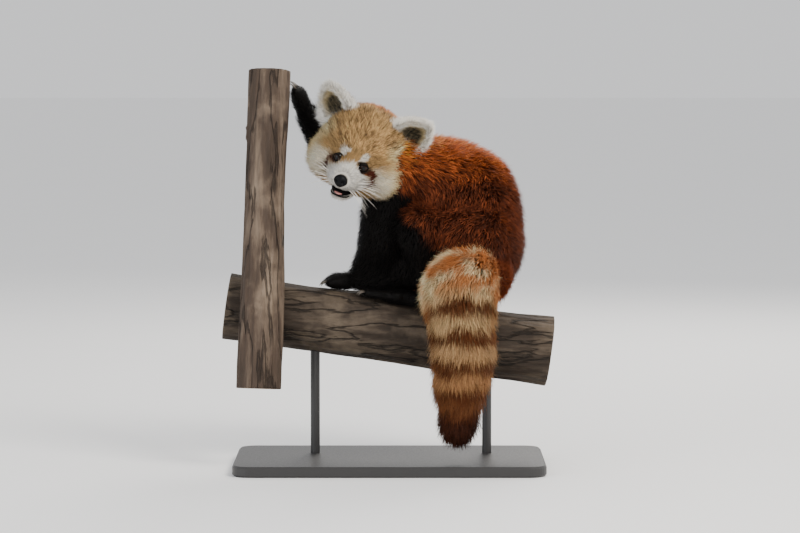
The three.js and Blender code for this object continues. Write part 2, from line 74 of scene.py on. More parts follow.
FAR_HIND = {
    "hip": (114, 50, Z + 80), "knee": (38, 72, Z + 94), "ankle": (50, 54, Z + 14),
    "heel": (46, 36, Z - 14), "toes": (-40, 33, Z - 3),
}
FRINGE = [  # the long hair behind the near forearm, as lengths with a radius at each end
    ((-8, -24, Z + 60), (-26, -16, Z + 13), 26, 20),
    ((4, -20, Z + 16), (-54, -15, Z + 12), 18, 15),
]
HEAD_CENTRE = (-53, -64, Z + 202)
HEAD_TURN = [("Y", 19), ("X", 16), ("Z", -10)]
EYE = {"x": 19.8, "y": -46.5, "z": 3, "radius": 8.6 * 0.86}  # the solids' eye, less its lids
SOCKET = ((EYE["x"], EYE["y"] - 6, EYE["z"]), (9.5, 12, 7.5))  # bare of hair
EAR = {"x": 60, "y": 16, "z": 54, "half": (30, 13, 37), "lean": 0.68, "turn": 0.3, "taper": 0.3}
NOSE = {"centre": (0, -79, -19), "size": (10.5, 7.5, 9.5)}
MUZZLE_BACK = -58  # in the head's frame, the nose lies in front of this
TAIL_POINTS = [
    (146, 14, Z + 26), (138, -24, Z + 22), (116, -66, Z + 24), (97, -100, Z + 3),
    (99, -117, Z - 50), (98, -117, Z - 100), (95, -115, Z - 150), (92, -114, Z - 196),
]
LOG = {"left": (-252, 0, Z - 25), "right": (232, 0, Z - 93), "radii": (49, 53)}
STEM = {"foot": (-201, -78, Z - 140), "top": (-187, -20, Z + 328), "radius": 32}

# How deep the coat lies over the skin, in millimetres
DEPTH = {
    "torso": 17, "neck": 15, "foreleg": 8, "hindleg": 13, "paw": 3.5, "tail": 23,
    "skull": 7, "cheek": 13, "brow": 4, "muzzle": 2.2, "jaw": 2.5,
}

SIDES = (("right", -1), ("left", 1))
LEGS = ("foreleg", "hindleg", "forepaw", "hindpaw")
BODY_NODES = ["torso", "neck"] + [f"{leg}_{side}" for leg in LEGS for side in ("left", "right")]
TAIL_NODES = ["tail_base", "tail_middle", "tail_tip"]


# Fields: negative inside a form and zero on its surface, for many points at once

def limb(a, b, ra, rb):
    """A length between two points with a radius at each end."""
    a, b = np.array(a, float), np.array(b, float)
    d = b - a

    def field(p):
        t = np.clip((p - a) @ d / (d @ d), 0, 1)
        return np.linalg.norm(p - a - t[:, None] * d, axis=1) - ra - (rb - ra) * t

    return field


def ellipsoid(centre, radii):
    """A ball with its own radius along each axis."""
    c, r = np.array(centre, float), np.array(radii, float)

    def field(p):
        q = p - c
        k0 = np.linalg.norm(q / r, axis=1)
        k1 = np.linalg.norm(q / r**2, axis=1)
        return k0 * (k0 - 1) / np.maximum(k1, 1e-9)

    return field


def blend(k, *fields):
    """Joins fields with a rounded fillet about k wide."""

    def field(p):
        out = fields[0](p)
        for other in fields[1:]:
            b = other(p)
            h = np.maximum(k - np.abs(out - b), 0) / k
            out = np.minimum(out, b) - h * h * k * 0.25
        return out

    return field


def carved(field, k, *hollows):
    """A field with rounded hollows cut into it."""

    def cut(p):
        out = field(p)
        for hollow in hollows:
            b = -hollow(p)
            h = np.maximum(k - np.abs(out - b), 0) / k
            out = np.maximum(out, b) + h * h * k * 0.25
        return out

    return cut


def gradient(field, p, step=0.3):
    """The outward direction of a field at each point."""
    grad = np.empty_like(p)
    for axis in range(3):
        offset = np.zeros(3)
        offset[axis] = step
        grad[:, axis] = field(p + offset) - field(p - offset)
    return grad / np.maximum(np.linalg.norm(grad, axis=1, keepdims=True), 1e-9)


def turn_matrix(turns):
    """Turns about named axes, one after another, in degrees."""
    out = Matrix.Identity(4)
    for axis, degrees in turns:
        out = out @ Matrix.Rotation(math.radians(degrees), 4, axis)
    return out


HEAD_FRAME = Matrix.Translation(HEAD_CENTRE) @ turn_matrix(HEAD_TURN)


def ear_frame(sign):
    """Where an ear stands, with its hollow facing -Y."""
    return (HEAD_FRAME @ Matrix.Translation((sign * EAR["x"], EAR["y"], EAR["z"]))
            @ Matrix.Rotation(sign * EAR["lean"], 4, "Y") @ Matrix.Rotation(sign * EAR["turn"], 4, "Z"))


def to_local(matrix, p):
    """Points taken into a frame, from the frame of the whole part."""
    m = np.array(matrix.inverted())
    return p @ m[:3, :3].T + m[:3, 3]


# Curves and tail

def smoothstep(x, low, high):
    """0 below low, 1 above high, and smooth between."""
    t = np.clip((np.asarray(x, float) - low) / (high - low), 0, 1)
    return t * t * (3 - 2 * t)


def catmull(points, count):
    """Even samples along a smooth curve through points."""
    p = np.array(points, float)
    p = np.vstack([2 * p[0] - p[1], p, 2 * p[-1] - p[-2]])
    out = []
    for i in range(1, len(p) - 2):
        knot = [0.0]
        for j in range(3):
            knot.append(knot[-1] + np.linalg.norm(p[i + j] - p[i + j - 1]) ** 0.5)

        def between(t, start, end, a, b):
            return ((knot[end] - t) * a + (t - knot[start]) * b) / (knot[end] - knot[start])

        for t in np.linspace(knot[1], knot[2], 40, endpoint=False):
            a = [between(t, j, j + 1, p[i - 1 + j], p[i + j]) for j in range(3)]
            b = [between(t, j, j + 2, a[j], a[j + 1]) for j in range(2)]
            out.append(between(t, 1, 2, b[0], b[1]))
    out = np.array(out + [p[-2]])
    lengths = np.concatenate([[0], np.cumsum(np.linalg.norm(np.diff(out, axis=0), axis=1))])
    even = np.linspace(0, lengths[-1], count)
    return np.stack([np.interp(even, lengths, out[:, k]) for k in range(3)], axis=1)


TAIL_STEPS = 90
THINNEST_TAIL = 9  # the least radius under the coat
TAIL_LINE = catmull(TAIL_POINTS, TAIL_STEPS + 1)
TAIL_T = np.linspace(0, 1, TAIL_STEPS + 1)
TAIL_ALONG = np.gradient(TAIL_LINE, axis=0)
TAIL_ALONG /= np.linalg.norm(TAIL_ALONG, axis=1, keepdims=True)
TAIL_RADIUS = (30 + 22 * smoothstep(TAIL_T, 0, 0.22) + 9 * np.exp(-(((TAIL_T - 0.36) / 0.13) ** 2))
               - 18 * smoothstep(TAIL_T, 0.5, 1) ** 2)


def tail_place(p):
    """For each point, the step of the tail's line that it lies nearest to."""
    best = np.full(len(p), 1e9)
    at = np.zeros(len(p), int)
    for i, c in enumerate(TAIL_LINE):
        d = np.linalg.norm(p - c, axis=1) - TAIL_RADIUS[i]
        near = d < best
        best[near] = d[near]
        at[near] = i
    return at


def tail_field(inset):
    """The tail's outline, drawn in by inset and less so at its root."""
    radius = np.maximum(TAIL_RADIUS - inset * smoothstep(TAIL_T, -0.1, 0.25), THINNEST_TAIL)
    radius = np.where(TAIL_T > 0.97, radius * 0.8, radius)

    def field(p):
        out = np.full(len(p), 1e9)
        for c, r in zip(TAIL_LINE, radius):
            out = np.minimum(out, np.linalg.norm(p - c, axis=1) - r)
        return out

    return field


# The body's forms, each as a list of balls and lengths, so that they can be both met and meshed

def less(radii, depth):
    """Radii that leave room for a coat of this depth."""
    return tuple(r - depth for r in radii)


def forms(inset):
    """Every form of the body. inset is 0 for the coat's tips and 1 for the skin."""
    d = {name: depth * inset for name, depth in DEPTH.items()}

    def leg(at, joints, radii, depth):
        return [("limb", at[a], at[b], ra - depth, rb - depth)
                for a, b, ra, rb in zip(joints, joints[1:], radii, radii[1:])]

    out = {
        "torso": (34, [
            ("ball", BODY["rump"], less((84, 86, 94), d["torso"])),
            ("ball", BODY["loin"], less((90, 84, 84), d["torso"])),
            ("ball", BODY["withers"], less((72, 76, 76), d["torso"])),
            ("ball", BODY["chest"], less((64, 66, 66), d["torso"])),
            ("ball", BODY["belly"], less((70, 68, 66), d["torso"])),
            ("ball", BODY["groin"], less((46, 50, 46), d["torso"] * 0.6)),
        ]),
        "neck": (20, [("limb", BODY["neck"], BODY["nape"], 66 - d["neck"], 62 - d["neck"])]),
    }
    for side, fore, hind in (("left", NEAR_FORE, NEAR_HIND), ("right", FAR_FORE, FAR_HIND)):
        out[f"foreleg_{side}"] = (18, leg(fore, ["shoulder", "elbow", "wrist"], (42, 34, 23), d["foreleg"]))
        out[f"hindleg_{side}"] = (22, leg(hind, ["hip", "knee", "ankle"], (66, 36, 24), d["hindleg"]))
        across = (0.2, 1, 0) if side == "right" else (0, 1, 0)
        out[f"forepaw_{side}"] = (5, paw(fore["palm"], fore["toes"], 16, 9, across, d["paw"]))
        out[f"hindpaw_{side}"] = (5, paw(hind["heel"], hind["toes"], 15, 9, (0, 1, 0), d["paw"]))
    for start, end, ra, rb in FRINGE:
        out["foreleg_left"][1].append(("limb", start, end, ra - d["foreleg"], rb - d["foreleg"]))
    return out


TOES = (-1.5, -0.5, 0.5, 1.5)  # each toe's place across the paw, in steps of the spread


def paw(start, end, radius, spread, side, depth):
    """A palm and four toes fanned about its length."""
    a, b = np.array(start, float), np.array(end, float)
    along = (b - a) / np.linalg.norm(b - a)
    across = np.array(side, float) / np.linalg.norm(side)
    out = [("limb", a, a + 0.55 * (b - a), radius - depth, radius * 0.95 - depth)]
    for i in TOES:
        root = a + 0.45 * (b - a) + across * i * spread * 0.7
        tip = b + across * i * spread - along * abs(i) * 2.5
        out.append(("limb", root, tip, radius * 0.62 - depth * 0.8, radius * 0.52 - depth * 0.8))
    return out


def head_forms(inset):
    """The head's forms, in its own frame."""
    d = {name: depth * inset for name, depth in DEPTH.items()}
    return [
        (22, [
            ("ball", (0, 16, 14), less((66, 66, 62), d["skull"])),
            ("ball", (-38, -3, -17), less((37, 39, 35), d["cheek"])),
            ("ball", (38, -3, -17), less((37, 39, 35), d["cheek"])),
            ("ball", (0, -36, -12), less((30, 28, 28), d["brow"])),
            ("ball", (0, 6, -26), less((44, 44, 30), d["skull"])),
        ]),
        (10, [
            ("ball", (0, -57, -21), less((23, 24, 15.5), d["muzzle"])),
            ("ball", (0, -46, -12), less((19, 24, 17), d["muzzle"])),
        ]),
    ]


def jaw_forms(inset):
    """The lower jaw's forms, in the head's frame."""
    d = DEPTH["jaw"] * inset
    return [
        ("ball", (0, -50, -49.5), less((15, 21, 6.5), d)),
        ("ball", (0, -34, -48), less((18, 20, 10), d)),
    ]


def field_of(k, prims):
    """The field of a list of balls and lengths, joined by fillets about k wide."""
    made = {"ball": ellipsoid, "limb": limb}
    return blend(k, *[made[kind](*sizes) for kind, *sizes in prims])


def body_field(inset, fillet):
    """The body's forms as one field, joined by fillets about as wide as asked."""
    return blend(fillet, *[field_of(k, prims) for k, prims in forms(inset).values()])


def face_field(inset):
    """The head in its own frame, with a shallow hollow round each eye."""
    (k1, skull), (k2, muzzle) = head_forms(inset)
    whole = blend(16, field_of(k1, skull), field_of(k2, muzzle))
    hollows = [ellipsoid((sign * EYE["x"] * 1.06, EYE["y"] - 7.5, EYE["z"]), (10.5, 7, 8.5))
               for sign in (-1, 1)]
    return carved(whole, 6, *hollows)


def head_world(inset):
    """The head's field in the frame of the whole part."""
    local = face_field(inset)
    return lambda p: local(to_local(HEAD_FRAME, p))


OUTER = {  # out to the tips of the hair
    "body": body_field(0, 1.0),
    "tail": tail_field(0),
    "head": head_world(0),
}


# Shader maths as Python expressions

class Sock:
    """A node's output, with arithmetic that adds Math nodes."""

    def __init__(self, shader, socket):
        self.shader = shader
        self.socket = socket

    def _math(self, operation, *values):
        return self.shader.node("ShaderNodeMath", {"operation": operation}, dict(enumerate(values)))

    def __add__(self, other):
        return self._math("ADD", self, other)

    def __sub__(self, other):
        return self._math("SUBTRACT", self, other)

    def __rsub__(self, other):
        return self._math("SUBTRACT", other, self)

    def __mul__(self, other):
        return self._math("MULTIPLY", self, other)

    __radd__ = __add__
    __rmul__ = __mul__

    def band(self, low, high):
        """0 below low, 1 above high, and smooth between."""
        steps = {0: self, 1: low, 2: high, 3: 0.0, 4: 1.0}
        return self.shader.node("ShaderNodeMapRange", {"interpolation_type": "SMOOTHSTEP"}, steps)


class Shader:
    """One material and the nodes that feed its surface."""

    def __init__(self, name, roughness=0.5, **uniform):
        """The rest are the surface's sockets that stay at one value."""
        self.material = bpy.data.materials.new(name)
        self.material.use_nodes = True
        self.tree = self.material.node_tree
        self.surface = self.tree.nodes["Principled BSDF"]
        self.surface.inputs["Roughness"].default_value = roughness
        for socket, value in uniform.items():
            self.surface.inputs[socket.replace("_", " ")].default_value = value

    def node(self, kind, settings=None, inputs=None, output=0):
        """Any node, from its type, its settings and the values or links of its sockets."""
        n = self.tree.nodes.new(kind)
        for key, value in (settings or {}).items():
            if key == "stops":
                ramp = n.color_ramp
                while len(ramp.elements) < len(value):
                    ramp.elements.new(0.5)
                for element, (place, colour) in zip(ramp.elements, value):
                    element.position = place
                    element.color = (*colour, 1)
            else:
                setattr(n, key, value)
        for key, value in (inputs or {}).items():
            if isinstance(value, Sock):
                self.tree.links.new(value.socket, n.inputs[key])
            else:
                n.inputs[key].default_value = value
        return Sock(self, n.outputs[output])

    def place(self, scale=(1, 1, 1), turn=(0, 0, 0)):
        """Object coordinates, stretched or turned."""
        at = self.node("ShaderNodeTexCoord", output="Object")
        return self.node("ShaderNodeMapping", {}, {"Vector": at, "Scale": scale, "Rotation": turn})

    def noise(self, at, scale, detail=4.0, roughness=0.55):
        """Smooth noise from 0 to 1 with finer layers over it."""
        return self.node("ShaderNodeTexNoise", {}, {
            "Vector": at, "Scale": scale, "Detail": detail, "Roughness": roughness})

    def attribute(self, name, output="Color"):
        """Values that a mesh carries at its points."""
        return self.node("ShaderNodeAttribute", {"attribute_name": name}, output=output)

    def mix(self, factor, a, b, blend="MIX"):
        """A colour between a and b."""
        n = self.tree.nodes.new("ShaderNodeMix")
        n.data_type = "RGBA"
        n.blend_type = blend
        for key, value in ((0, factor), (6, a), (7, b)):
            if isinstance(value, Sock):
                self.tree.links.new(value.socket, n.inputs[key])
            else:
                n.inputs[key].default_value = value if key == 0 else (*value, 1)
        return Sock(self, n.outputs[2])

    def ramp(self, factor, stops):
        """Colours between stops, each a place from 0 to 1 and a colour."""
        return self.node("ShaderNodeValToRGB", {"stops": stops}, {"Fac": factor})

    def bump(self, height, strength, distance):
        """A surface direction tilted by a height, up to a distance in metres."""
        return self.node("ShaderNodeBump", {}, {
            "Height": height, "Strength": strength, "Distance": distance})

    def feed(self, **links):
        """Link values to the surface's sockets and return the finished material."""
        for socket, value in links.items():
            self.tree.links.new(value.socket, self.surface.inputs[socket.replace("_", " ")])
        return self.material


def linear(hex_colour):
    """A display colour as linear light."""
    out = []
    for shift in (16, 8, 0):
        c = ((hex_colour >> shift) & 255) / 255
        out.append(c / 12.92 if c <= 0.04045 else ((c + 0.055) / 1.055) ** 2.4)
    return tuple(out)


COAT = {name: np.array(linear(value)) for name, value in {
    "crown": 0xA68558, "crown_edge": 0xC4692A, "white": 0xE9E3D8, "cheek": 0xE8DDC6, "cream": 0xD8C193,
    "tear": 0x4E1E0C, "under_eye": 0x8C5A30, "fleck": 0x4A3624, "ear_dark": 0x1D1C1B,
    # the golden orange after the flank on the next line is painted sunlight for the nape and shoulders
    "back": 0xAE5522, "flank": 0x69331B, "painted_sunlight": 0xC4742E, "black": 0x0B0807,
    "ring_light": 0xC2A074, "ring_dark": 0x5A3218, "ring_edge": 0xA8642E,
    # the pale cream of the bend on the next line is painted sunlight over pale hair
    "tail_bend": 0xB4703E, "tail_pale_and_sunlit": 0xE8CCA2, "tail_low": 0x6A3A1E, "tail_tip": 0x35190F,
}.items()}


def mixed(a, b, factor):
    """Colours of many points, from a towards b."""
    f = np.clip(factor, 0, 1)[:, None]
    return a * (1 - f) + b * f


WAVES = (  # each a direction, how tight it is and how far the seed shifts it
    ((1.0, 0.6, 0.3), 1.0, 1), ((-0.5, 0.9, 0.7), 1.3, 2),
    ((0.4, -0.8, 1.1), 1.7, 3), ((0.9, 0.5, -1.2), 2.3, 5),
)


def wobble(p, scale, seed):
    """A smooth unevenness between about -1 and 1, from a few crossed waves."""
    q = p / scale
    out = sum(np.sin(q @ way * pace + shift * seed) for way, pace, shift in WAVES)
    return out / 2.6


# Markings, shared by the skin and the coat

def near(q, centre, radii):
    """0 at a centre and 1 on the ellipsoid round it."""
    return np.linalg.norm((q - np.array(centre)) / np.array(radii), axis=1)


def mark(q, name, low, high):
    """1 within a marking of the face and 0 outside it, with its edge between two shares of its radii."""
    return 1 - smoothstep(near(q, *MARKS[name]), low, high)


MARKS = {  # centres and radii in the head's frame, for the animal's left side
    "cheek": ((34, -26, -15), (19, 36, 20)),
    "rust_edge": ((34, -26, -12), (29, 60, 27)),
    "muzzle": ((0, -62, -22), (29, 34, 20)),
    "brow": ((14, -46, 10.5), (6.2, 22, 6.5)),
    "under_eye": ((24, -46, -6), (7, 16, 6)),
    "eye_rim": (SOCKET[0], (9.5, 12, 8)),
    "chin": ((0, -52, -50), (20, 30, 12)),
    "short_brow": ((15, -46, 12), (14, 30, 14)),
}
TEAR_STRIPE = limb((26, -45, -4.5), (30.5, -42, -22), 5.4, 7.2)


def by_nose(q):
    """1 on the outline of the nose leather as the face shows it, less within it."""
    (x, _, z), (w, _, h) = NOSE["centre"], NOSE["size"]
    return np.hypot((q[:, 0] - x) / w, (q[:, 2] - z) / h) + 9 * (q[:, 1] > MUZZLE_BACK)


def one_side(q):
    """Both sides of the head folded onto its left side."""
    return np.stack([np.abs(q[:, 0]), q[:, 1], q[:, 2]], axis=1)


def head_colour(p):
    """A flecked tan crown, cream cheeks edged in rust, a white muzzle and brow, and dark tear stripes."""
    q = to_local(HEAD_FRAME, p)
    x = np.abs(q[:, 0])
    folded = one_side(q) + 2.2 * np.stack([wobble(q, 5.0, 1), wobble(q, 5.5, 2), wobble(q, 6.0, 3)], axis=1)
    c = np.broadcast_to(COAT["crown"], p.shape).copy()
    back = smoothstep(q[:, 1] + 0.3 * q[:, 2] + 6 * wobble(q, 14, 4), 26, 54)
    c = mixed(c, COAT["crown_edge"], back)
    side = smoothstep(x + 4 * wobble(q, 6, 3), 32, 50) * (1 - smoothstep(q[:, 2], 26, 46))
    c = mixed(c, COAT["cream"], side * 0.9)
    cheek = mark(folded, "cheek", 0.6, 1.15)
    c = mixed(c, mixed(COAT["cheek"][None], COAT["cream"], 0.6 * smoothstep(x, 36, 52)), cheek * 0.9)
    edge = (1 - mark(folded, "rust_edge", 0.78, 1.06)) * (1 - smoothstep(q[:, 2], -16, 4))
    near_side = q[:, 0] > 0
    c = mixed(c, COAT["crown_edge"], (0.4 + 0.4 * near_side) * edge * smoothstep(x, 30, 42))
    c = mixed(c, COAT["white"], mark(folded, "muzzle", 0.85, 1.08))
    brow = mark(folded, "brow", 0.7, 1.2)
    c = mixed(c, COAT["white"], brow * 0.85)
    c = mixed(c, COAT["under_eye"], mark(folded, "under_eye", 0.7, 1.15) * 0.9)
    c = mixed(c, COAT["tear"], 1 - smoothstep(TEAR_STRIPE(folded), -1.0, 2.6))
    c = mixed(c, COAT["fleck"] * 0.5, mark(folded, "eye_rim", 1.0, 1.35))
    c = mixed(c, COAT["white"], mark(q, "chin", 0.8, 1.1))
    crown = smoothstep(q[:, 2] + 0.2 * q[:, 1], 0, 18) * (1 - cheek) * (1 - brow)
    fleck = smoothstep(wobble(q, 1.3, 6) + 0.4 * wobble(q, 6, 2), -0.2, 0.65)
    c = mixed(c, COAT["fleck"], 0.85 * fleck * crown)
    # Painted shade: the skin darkened round the edge of the nose leather.
    c = mixed(c, COAT["fleck"] * 0.4, 1 - smoothstep(by_nose(q), 0.86, 0.96))
    throat = smoothstep(-q[:, 2], 40, 50) * smoothstep(q[:, 1], -44, -28)
    c = mixed(c, COAT["black"], throat)
    nape = smoothstep(q[:, 1], 22, 46) * smoothstep(-q[:, 2], 0, 26)
    return mixed(c, COAT["back"], nape)


def ear_colour(p, sign):
    """A white rim, a cream band, a dark hollow crossed by pale hair and a dark patch behind."""
    q = to_local(ear_frame(sign), p)
    w, _, h = EAR["half"]
    r = np.hypot(q[:, 0] / w, (q[:, 2] - 2) / h) + 0.06 * wobble(q, 4, 3)
    c = np.broadcast_to(COAT["cream"], p.shape).copy()
    c = mixed(c, COAT["white"], smoothstep(r, 0.4, 0.75))
    inside = 1 - smoothstep(np.hypot(q[:, 0] / w * 1.1, (q[:, 2] + 3) / h), 0.36, 0.66)
    streak = 0.72 + 0.28 * smoothstep(wobble(q, 1.1, 4), -0.7, 0.4)
    c = mixed(c, COAT["ear_dark"], inside * smoothstep(-q[:, 1], -7, -4.5) * streak)
    back = smoothstep(q[:, 1], 4, 9) * (1 - smoothstep(q[:, 2], 6, 24))
    return mixed(c, COAT["tear"] * 0.5, back)


def body_colour(p):
    """Orange back with a patch of painted sunlight at the nape, rust flank and dark belly, chest, throat
    and legs.
    """
    x, high = p[:, 0], p[:, 2]
    n = wobble(p, 16, 2)
    c = np.broadcast_to(COAT["flank"], p.shape).copy()
    crest = smoothstep(high + 5 * n - 0.12 * np.abs(p[:, 1]), Z + 150, Z + 215)
    c = mixed(c, COAT["back"], crest)
    # Painted sunlight: a golden orange patch over the nape and the tops of the shoulders.
    painted_sunlight = smoothstep(high - 0.35 * x + 7 * n, Z + 182, Z + 222) * (1 - smoothstep(x, 50, 110))
    c = mixed(c, COAT["painted_sunlight"], 0.8 * painted_sunlight)
    c = c * (1 - 0.35 * smoothstep(Z + 100 - high + 8 * n, 0, 60))[:, None]
    speckle = smoothstep(wobble(p, 1.3, 7) + 0.5 * wobble(p, 7, 1), -0.1, 0.9)
    c = c * (0.5 + 0.95 * speckle)[:, None]
    front = smoothstep(Z + 148 - high - 1.1 * np.maximum(x + 8, 0) + 6 * n, -8, 12)
    front = front * (1 - smoothstep(x + 0.3 * (Z + 60 - high), 92, 120))
    c = mixed(c, COAT["black"], front)
    leg = np.minimum(limb(NEAR_FORE["shoulder"], NEAR_FORE["elbow"], 38, 38)(p),
                     limb(NEAR_FORE["elbow"], NEAR_FORE["wrist"], 34, 30)(p))
    far = np.minimum(limb(FAR_FORE["shoulder"], FAR_FORE["elbow"], 42, 40)(p),
                     limb(FAR_FORE["elbow"], FAR_FORE["wrist"], 40, 34)(p))
    c = mixed(c, COAT["black"], 1 - smoothstep(np.minimum(leg, far) + 3 * n, -1, 8))
    for hind in (NEAR_HIND, FAR_HIND):
        shin = limb(hind["knee"], hind["ankle"], 30, 30)(p)
        below_knee = 1 - smoothstep(high, Z + 70, Z + 110)
        c = mixed(c, COAT["black"], (1 - smoothstep(shin + 4 * n, 0, 10)) * below_knee)
        foot = limb(hind["heel"], hind["toes"], 20, 18)(p)
        c = mixed(c, COAT["black"], 1 - smoothstep(foot, 2, 12))
    paws = np.minimum(limb(NEAR_FORE["palm"], NEAR_FORE["toes"], 20, 18)(p),
                      limb(FAR_FORE["palm"], FAR_FORE["toes"], 22, 20)(p))
    return mixed(c, COAT["black"], 1 - smoothstep(paws, 2, 10))


RING = {"first": Z - 32, "period": 39.0, "last": Z - 138}


def tail_colour(p):
    """Pale and dark rings that follow the tail, a bend mottled with painted sunlight and pale hair, and a
    dark tip.
    """
    i = tail_place(p)
    t = TAIL_T[i]
    along = TAIL_LINE[i, 2] + 3.6 * wobble(p, 10, 5)
    across = np.abs(p[:, 0] - TAIL_LINE[i, 0]) / TAIL_RADIUS[i]
    edge = smoothstep(across + 0.1 * wobble(p, 7, 3), 0.4, 0.95)
    hanging = smoothstep(t, 0.4, 0.5)
    phase = 2 * np.pi * (RING["first"] - along) / RING["period"]
    dark = smoothstep(np.cos(phase) + 0.3 * wobble(p, 6, 8), -0.45, 0.75)
    # Painted sunlight: pale cream patches over the bend, paler towards its edges where the fringe hair is
    # pale.
    patch = smoothstep(wobble(p, 9, 2) + 0.6 * wobble(p, 4, 6) + 1.2 * (edge - 0.25), -0.7, 0.7)
    c = mixed(np.broadcast_to(COAT["tail_bend"], p.shape), COAT["tail_pale_and_sunlit"], patch * 0.9)
    root = (1 - smoothstep(t, 0.14, 0.3)) + smoothstep(p[:, 0], 118, 134) * (1 - smoothstep(t, 0.3, 0.42))
    c = mixed(c, COAT["flank"], root)
    fading = smoothstep(Z - 50 - along, 0, 90)
    pale = mixed(COAT["ring_light"][None], COAT["tail_bend"], 0.45 * edge)
    c = mixed(c, mixed(pale, COAT["ring_edge"] * 0.8, 0.62 * fading), hanging)
    c = mixed(c, mixed(COAT["ring_dark"][None], COAT["ring_edge"], 0.75 * edge), hanging * dark)
    low = smoothstep(RING["last"] - along, 0, 26)
    c = mixed(c, mixed(COAT["tail_low"][None], COAT["ring_edge"], 0.45 * edge), low * 0.85)
    return mixed(c, COAT["tail_tip"], smoothstep(RING["last"] - 30 - along, 0, 34) * (1 - 0.4 * edge))


# Meshes

def unit(a):
    """Directions of length 1."""
    return a / np.maximum(np.linalg.norm(a, axis=1, keepdims=True), 1e-9)


def standing(a, b):
    """The place midway between two points, turned so that Z runs from the first to the second."""
    axis = b - a
    return Matrix.Translation((a + b) / 2) @ axis.to_track_quat("Z", "Y").to_matrix().to_4x4()


def add_form(bm, kind, sizes, matrix):
    """One ball or length as a closed mesh."""
    if kind == "ball":
        centre, radii = sizes
        place = matrix @ Matrix.Translation(centre) @ Matrix.Diagonal((*radii, 1))
        bmesh.ops.create_icosphere(bm, subdivisions=4, radius=1, matrix=place)
        return
    a, b, ra, rb = sizes
    a, b = Vector(a), Vector(b)
    for at, r in ((a, ra), (b, rb)):
        place = matrix @ Matrix.Translation(at) @ Matrix.Scale(r, 4)
        bmesh.ops.create_icosphere(bm, subdivisions=3, radius=1, matrix=place)
    bmesh.ops.create_cone(bm, cap_ends=True, segments=32, radius1=ra, radius2=rb, depth=(b - a).length,
                          matrix=matrix @ standing(a, b))


def in_place(bm, matrix):
    """Take a form from its own frame to the scene's, and from millimetres to metres."""
    bmesh.ops.transform(bm, matrix=Matrix.Scale(MM, 4) @ matrix, verts=bm.verts)


def object_from(bm, name, material, smooth=True):
    """A linked object from a bmesh, which is then freed."""
    mesh = bpy.data.meshes.new(name)
    bm.to_mesh(mesh)
    bm.free()
    mesh.polygons.foreach_set("use_smooth", [smooth] * len(mesh.polygons))
    mesh.materials.append(material)
    obj = bpy.data.objects.new(name, mesh)
    bpy.context.scene.collection.objects.link(obj)
    return obj


def applied(obj):
    """The object with its modifiers made real."""
    graph = bpy.context.evaluated_depsgraph_get()
    mesh = bpy.data.meshes.new_from_object(obj.evaluated_get(graph))
    obj.modifiers.clear()
    old = obj.data
    obj.data = mesh
    bpy.data.meshes.remove(old)
    return obj


def vertices(mesh):
    """A mesh's points as an array, in metres."""
    return read(mesh.vertices, "co", 3).astype(float)


def set_vertices(mesh, co):
    """Move a mesh's points to places in metres."""
    mesh.vertices.foreach_set("co", co.astype(np.float32).ravel())
    mesh.update()


ROOT_TONE = 0.6  # how bright the skin is beside the coat, as the hair is darker at its root
DRAWN = {"rounds": 5, "farthest": 4}  # how the skin's points are drawn onto their field


def grown_skin(name, prims, field, cell, colour):
    """A closed skin: forms joined on a fine grid, then drawn onto the field's surface."""
    bm = bmesh.new()
    for kind, sizes, matrix in prims:
        add_form(bm, kind, sizes, matrix)
    in_place(bm, Matrix.Identity(4))
    obj = object_from(bm, name, coat_material())
    remesh = obj.modifiers.new("skin", "REMESH")
    remesh.mode = "VOXEL"
    remesh.voxel_size = cell * MM
    applied(obj)
    p = vertices(obj.data) / MM
    for _ in range(DRAWN["rounds"]):
        step = np.clip(field(p), -DRAWN["farthest"], DRAWN["farthest"])
        p = p - step[:, None] * gradient(field, p)
    set_vertices(obj.data, p * MM)
    smooth = obj.modifiers.new("even", "SMOOTH")
    smooth.factor = 0.5
    smooth.iterations = 2
    applied(obj)
    obj.data.polygons.foreach_set("use_smooth", [True] * len(obj.data.polygons))
    paint(obj.data, colour(vertices(obj.data) / MM) * ROOT_TONE)
    unwrap(obj)
    obj.data.materials.clear()
    obj.data.materials.append(coat_material())
    return obj


def paint(mesh, rgb):
    """Give each point of a mesh its tint, which the coat's material reads."""
    layer = mesh.attributes.new("Tint", "FLOAT_COLOR", "POINT")
    rgba = np.ones((len(rgb), 4), np.float32)
    rgba[:, :3] = rgb
    layer.data.foreach_set("color", rgba.ravel())


def unwrap(obj):
    """A flat layout of the skin's own shape, for the baked colours."""
    obj.data.uv_layers.new(name="OFBake")
    bpy.ops.object.select_all(action="DESELECT")
    bpy.context.view_layer.objects.active = obj
    obj.select_set(True)
    bpy.ops.object.mode_set(mode="EDIT")
    bpy.ops.mesh.select_all(action="SELECT")
    bpy.ops.uv.smart_project(angle_limit=math.radians(66), island_margin=0.002)
    bpy.ops.object.mode_set(mode="OBJECT")


def read(items, name, width, kind=np.float32):
    """One property of many mesh items, as rows of an array."""
    out = np.empty(len(items) * width, kind)
    items.foreach_get(name, out)
    return out.reshape(-1, width)


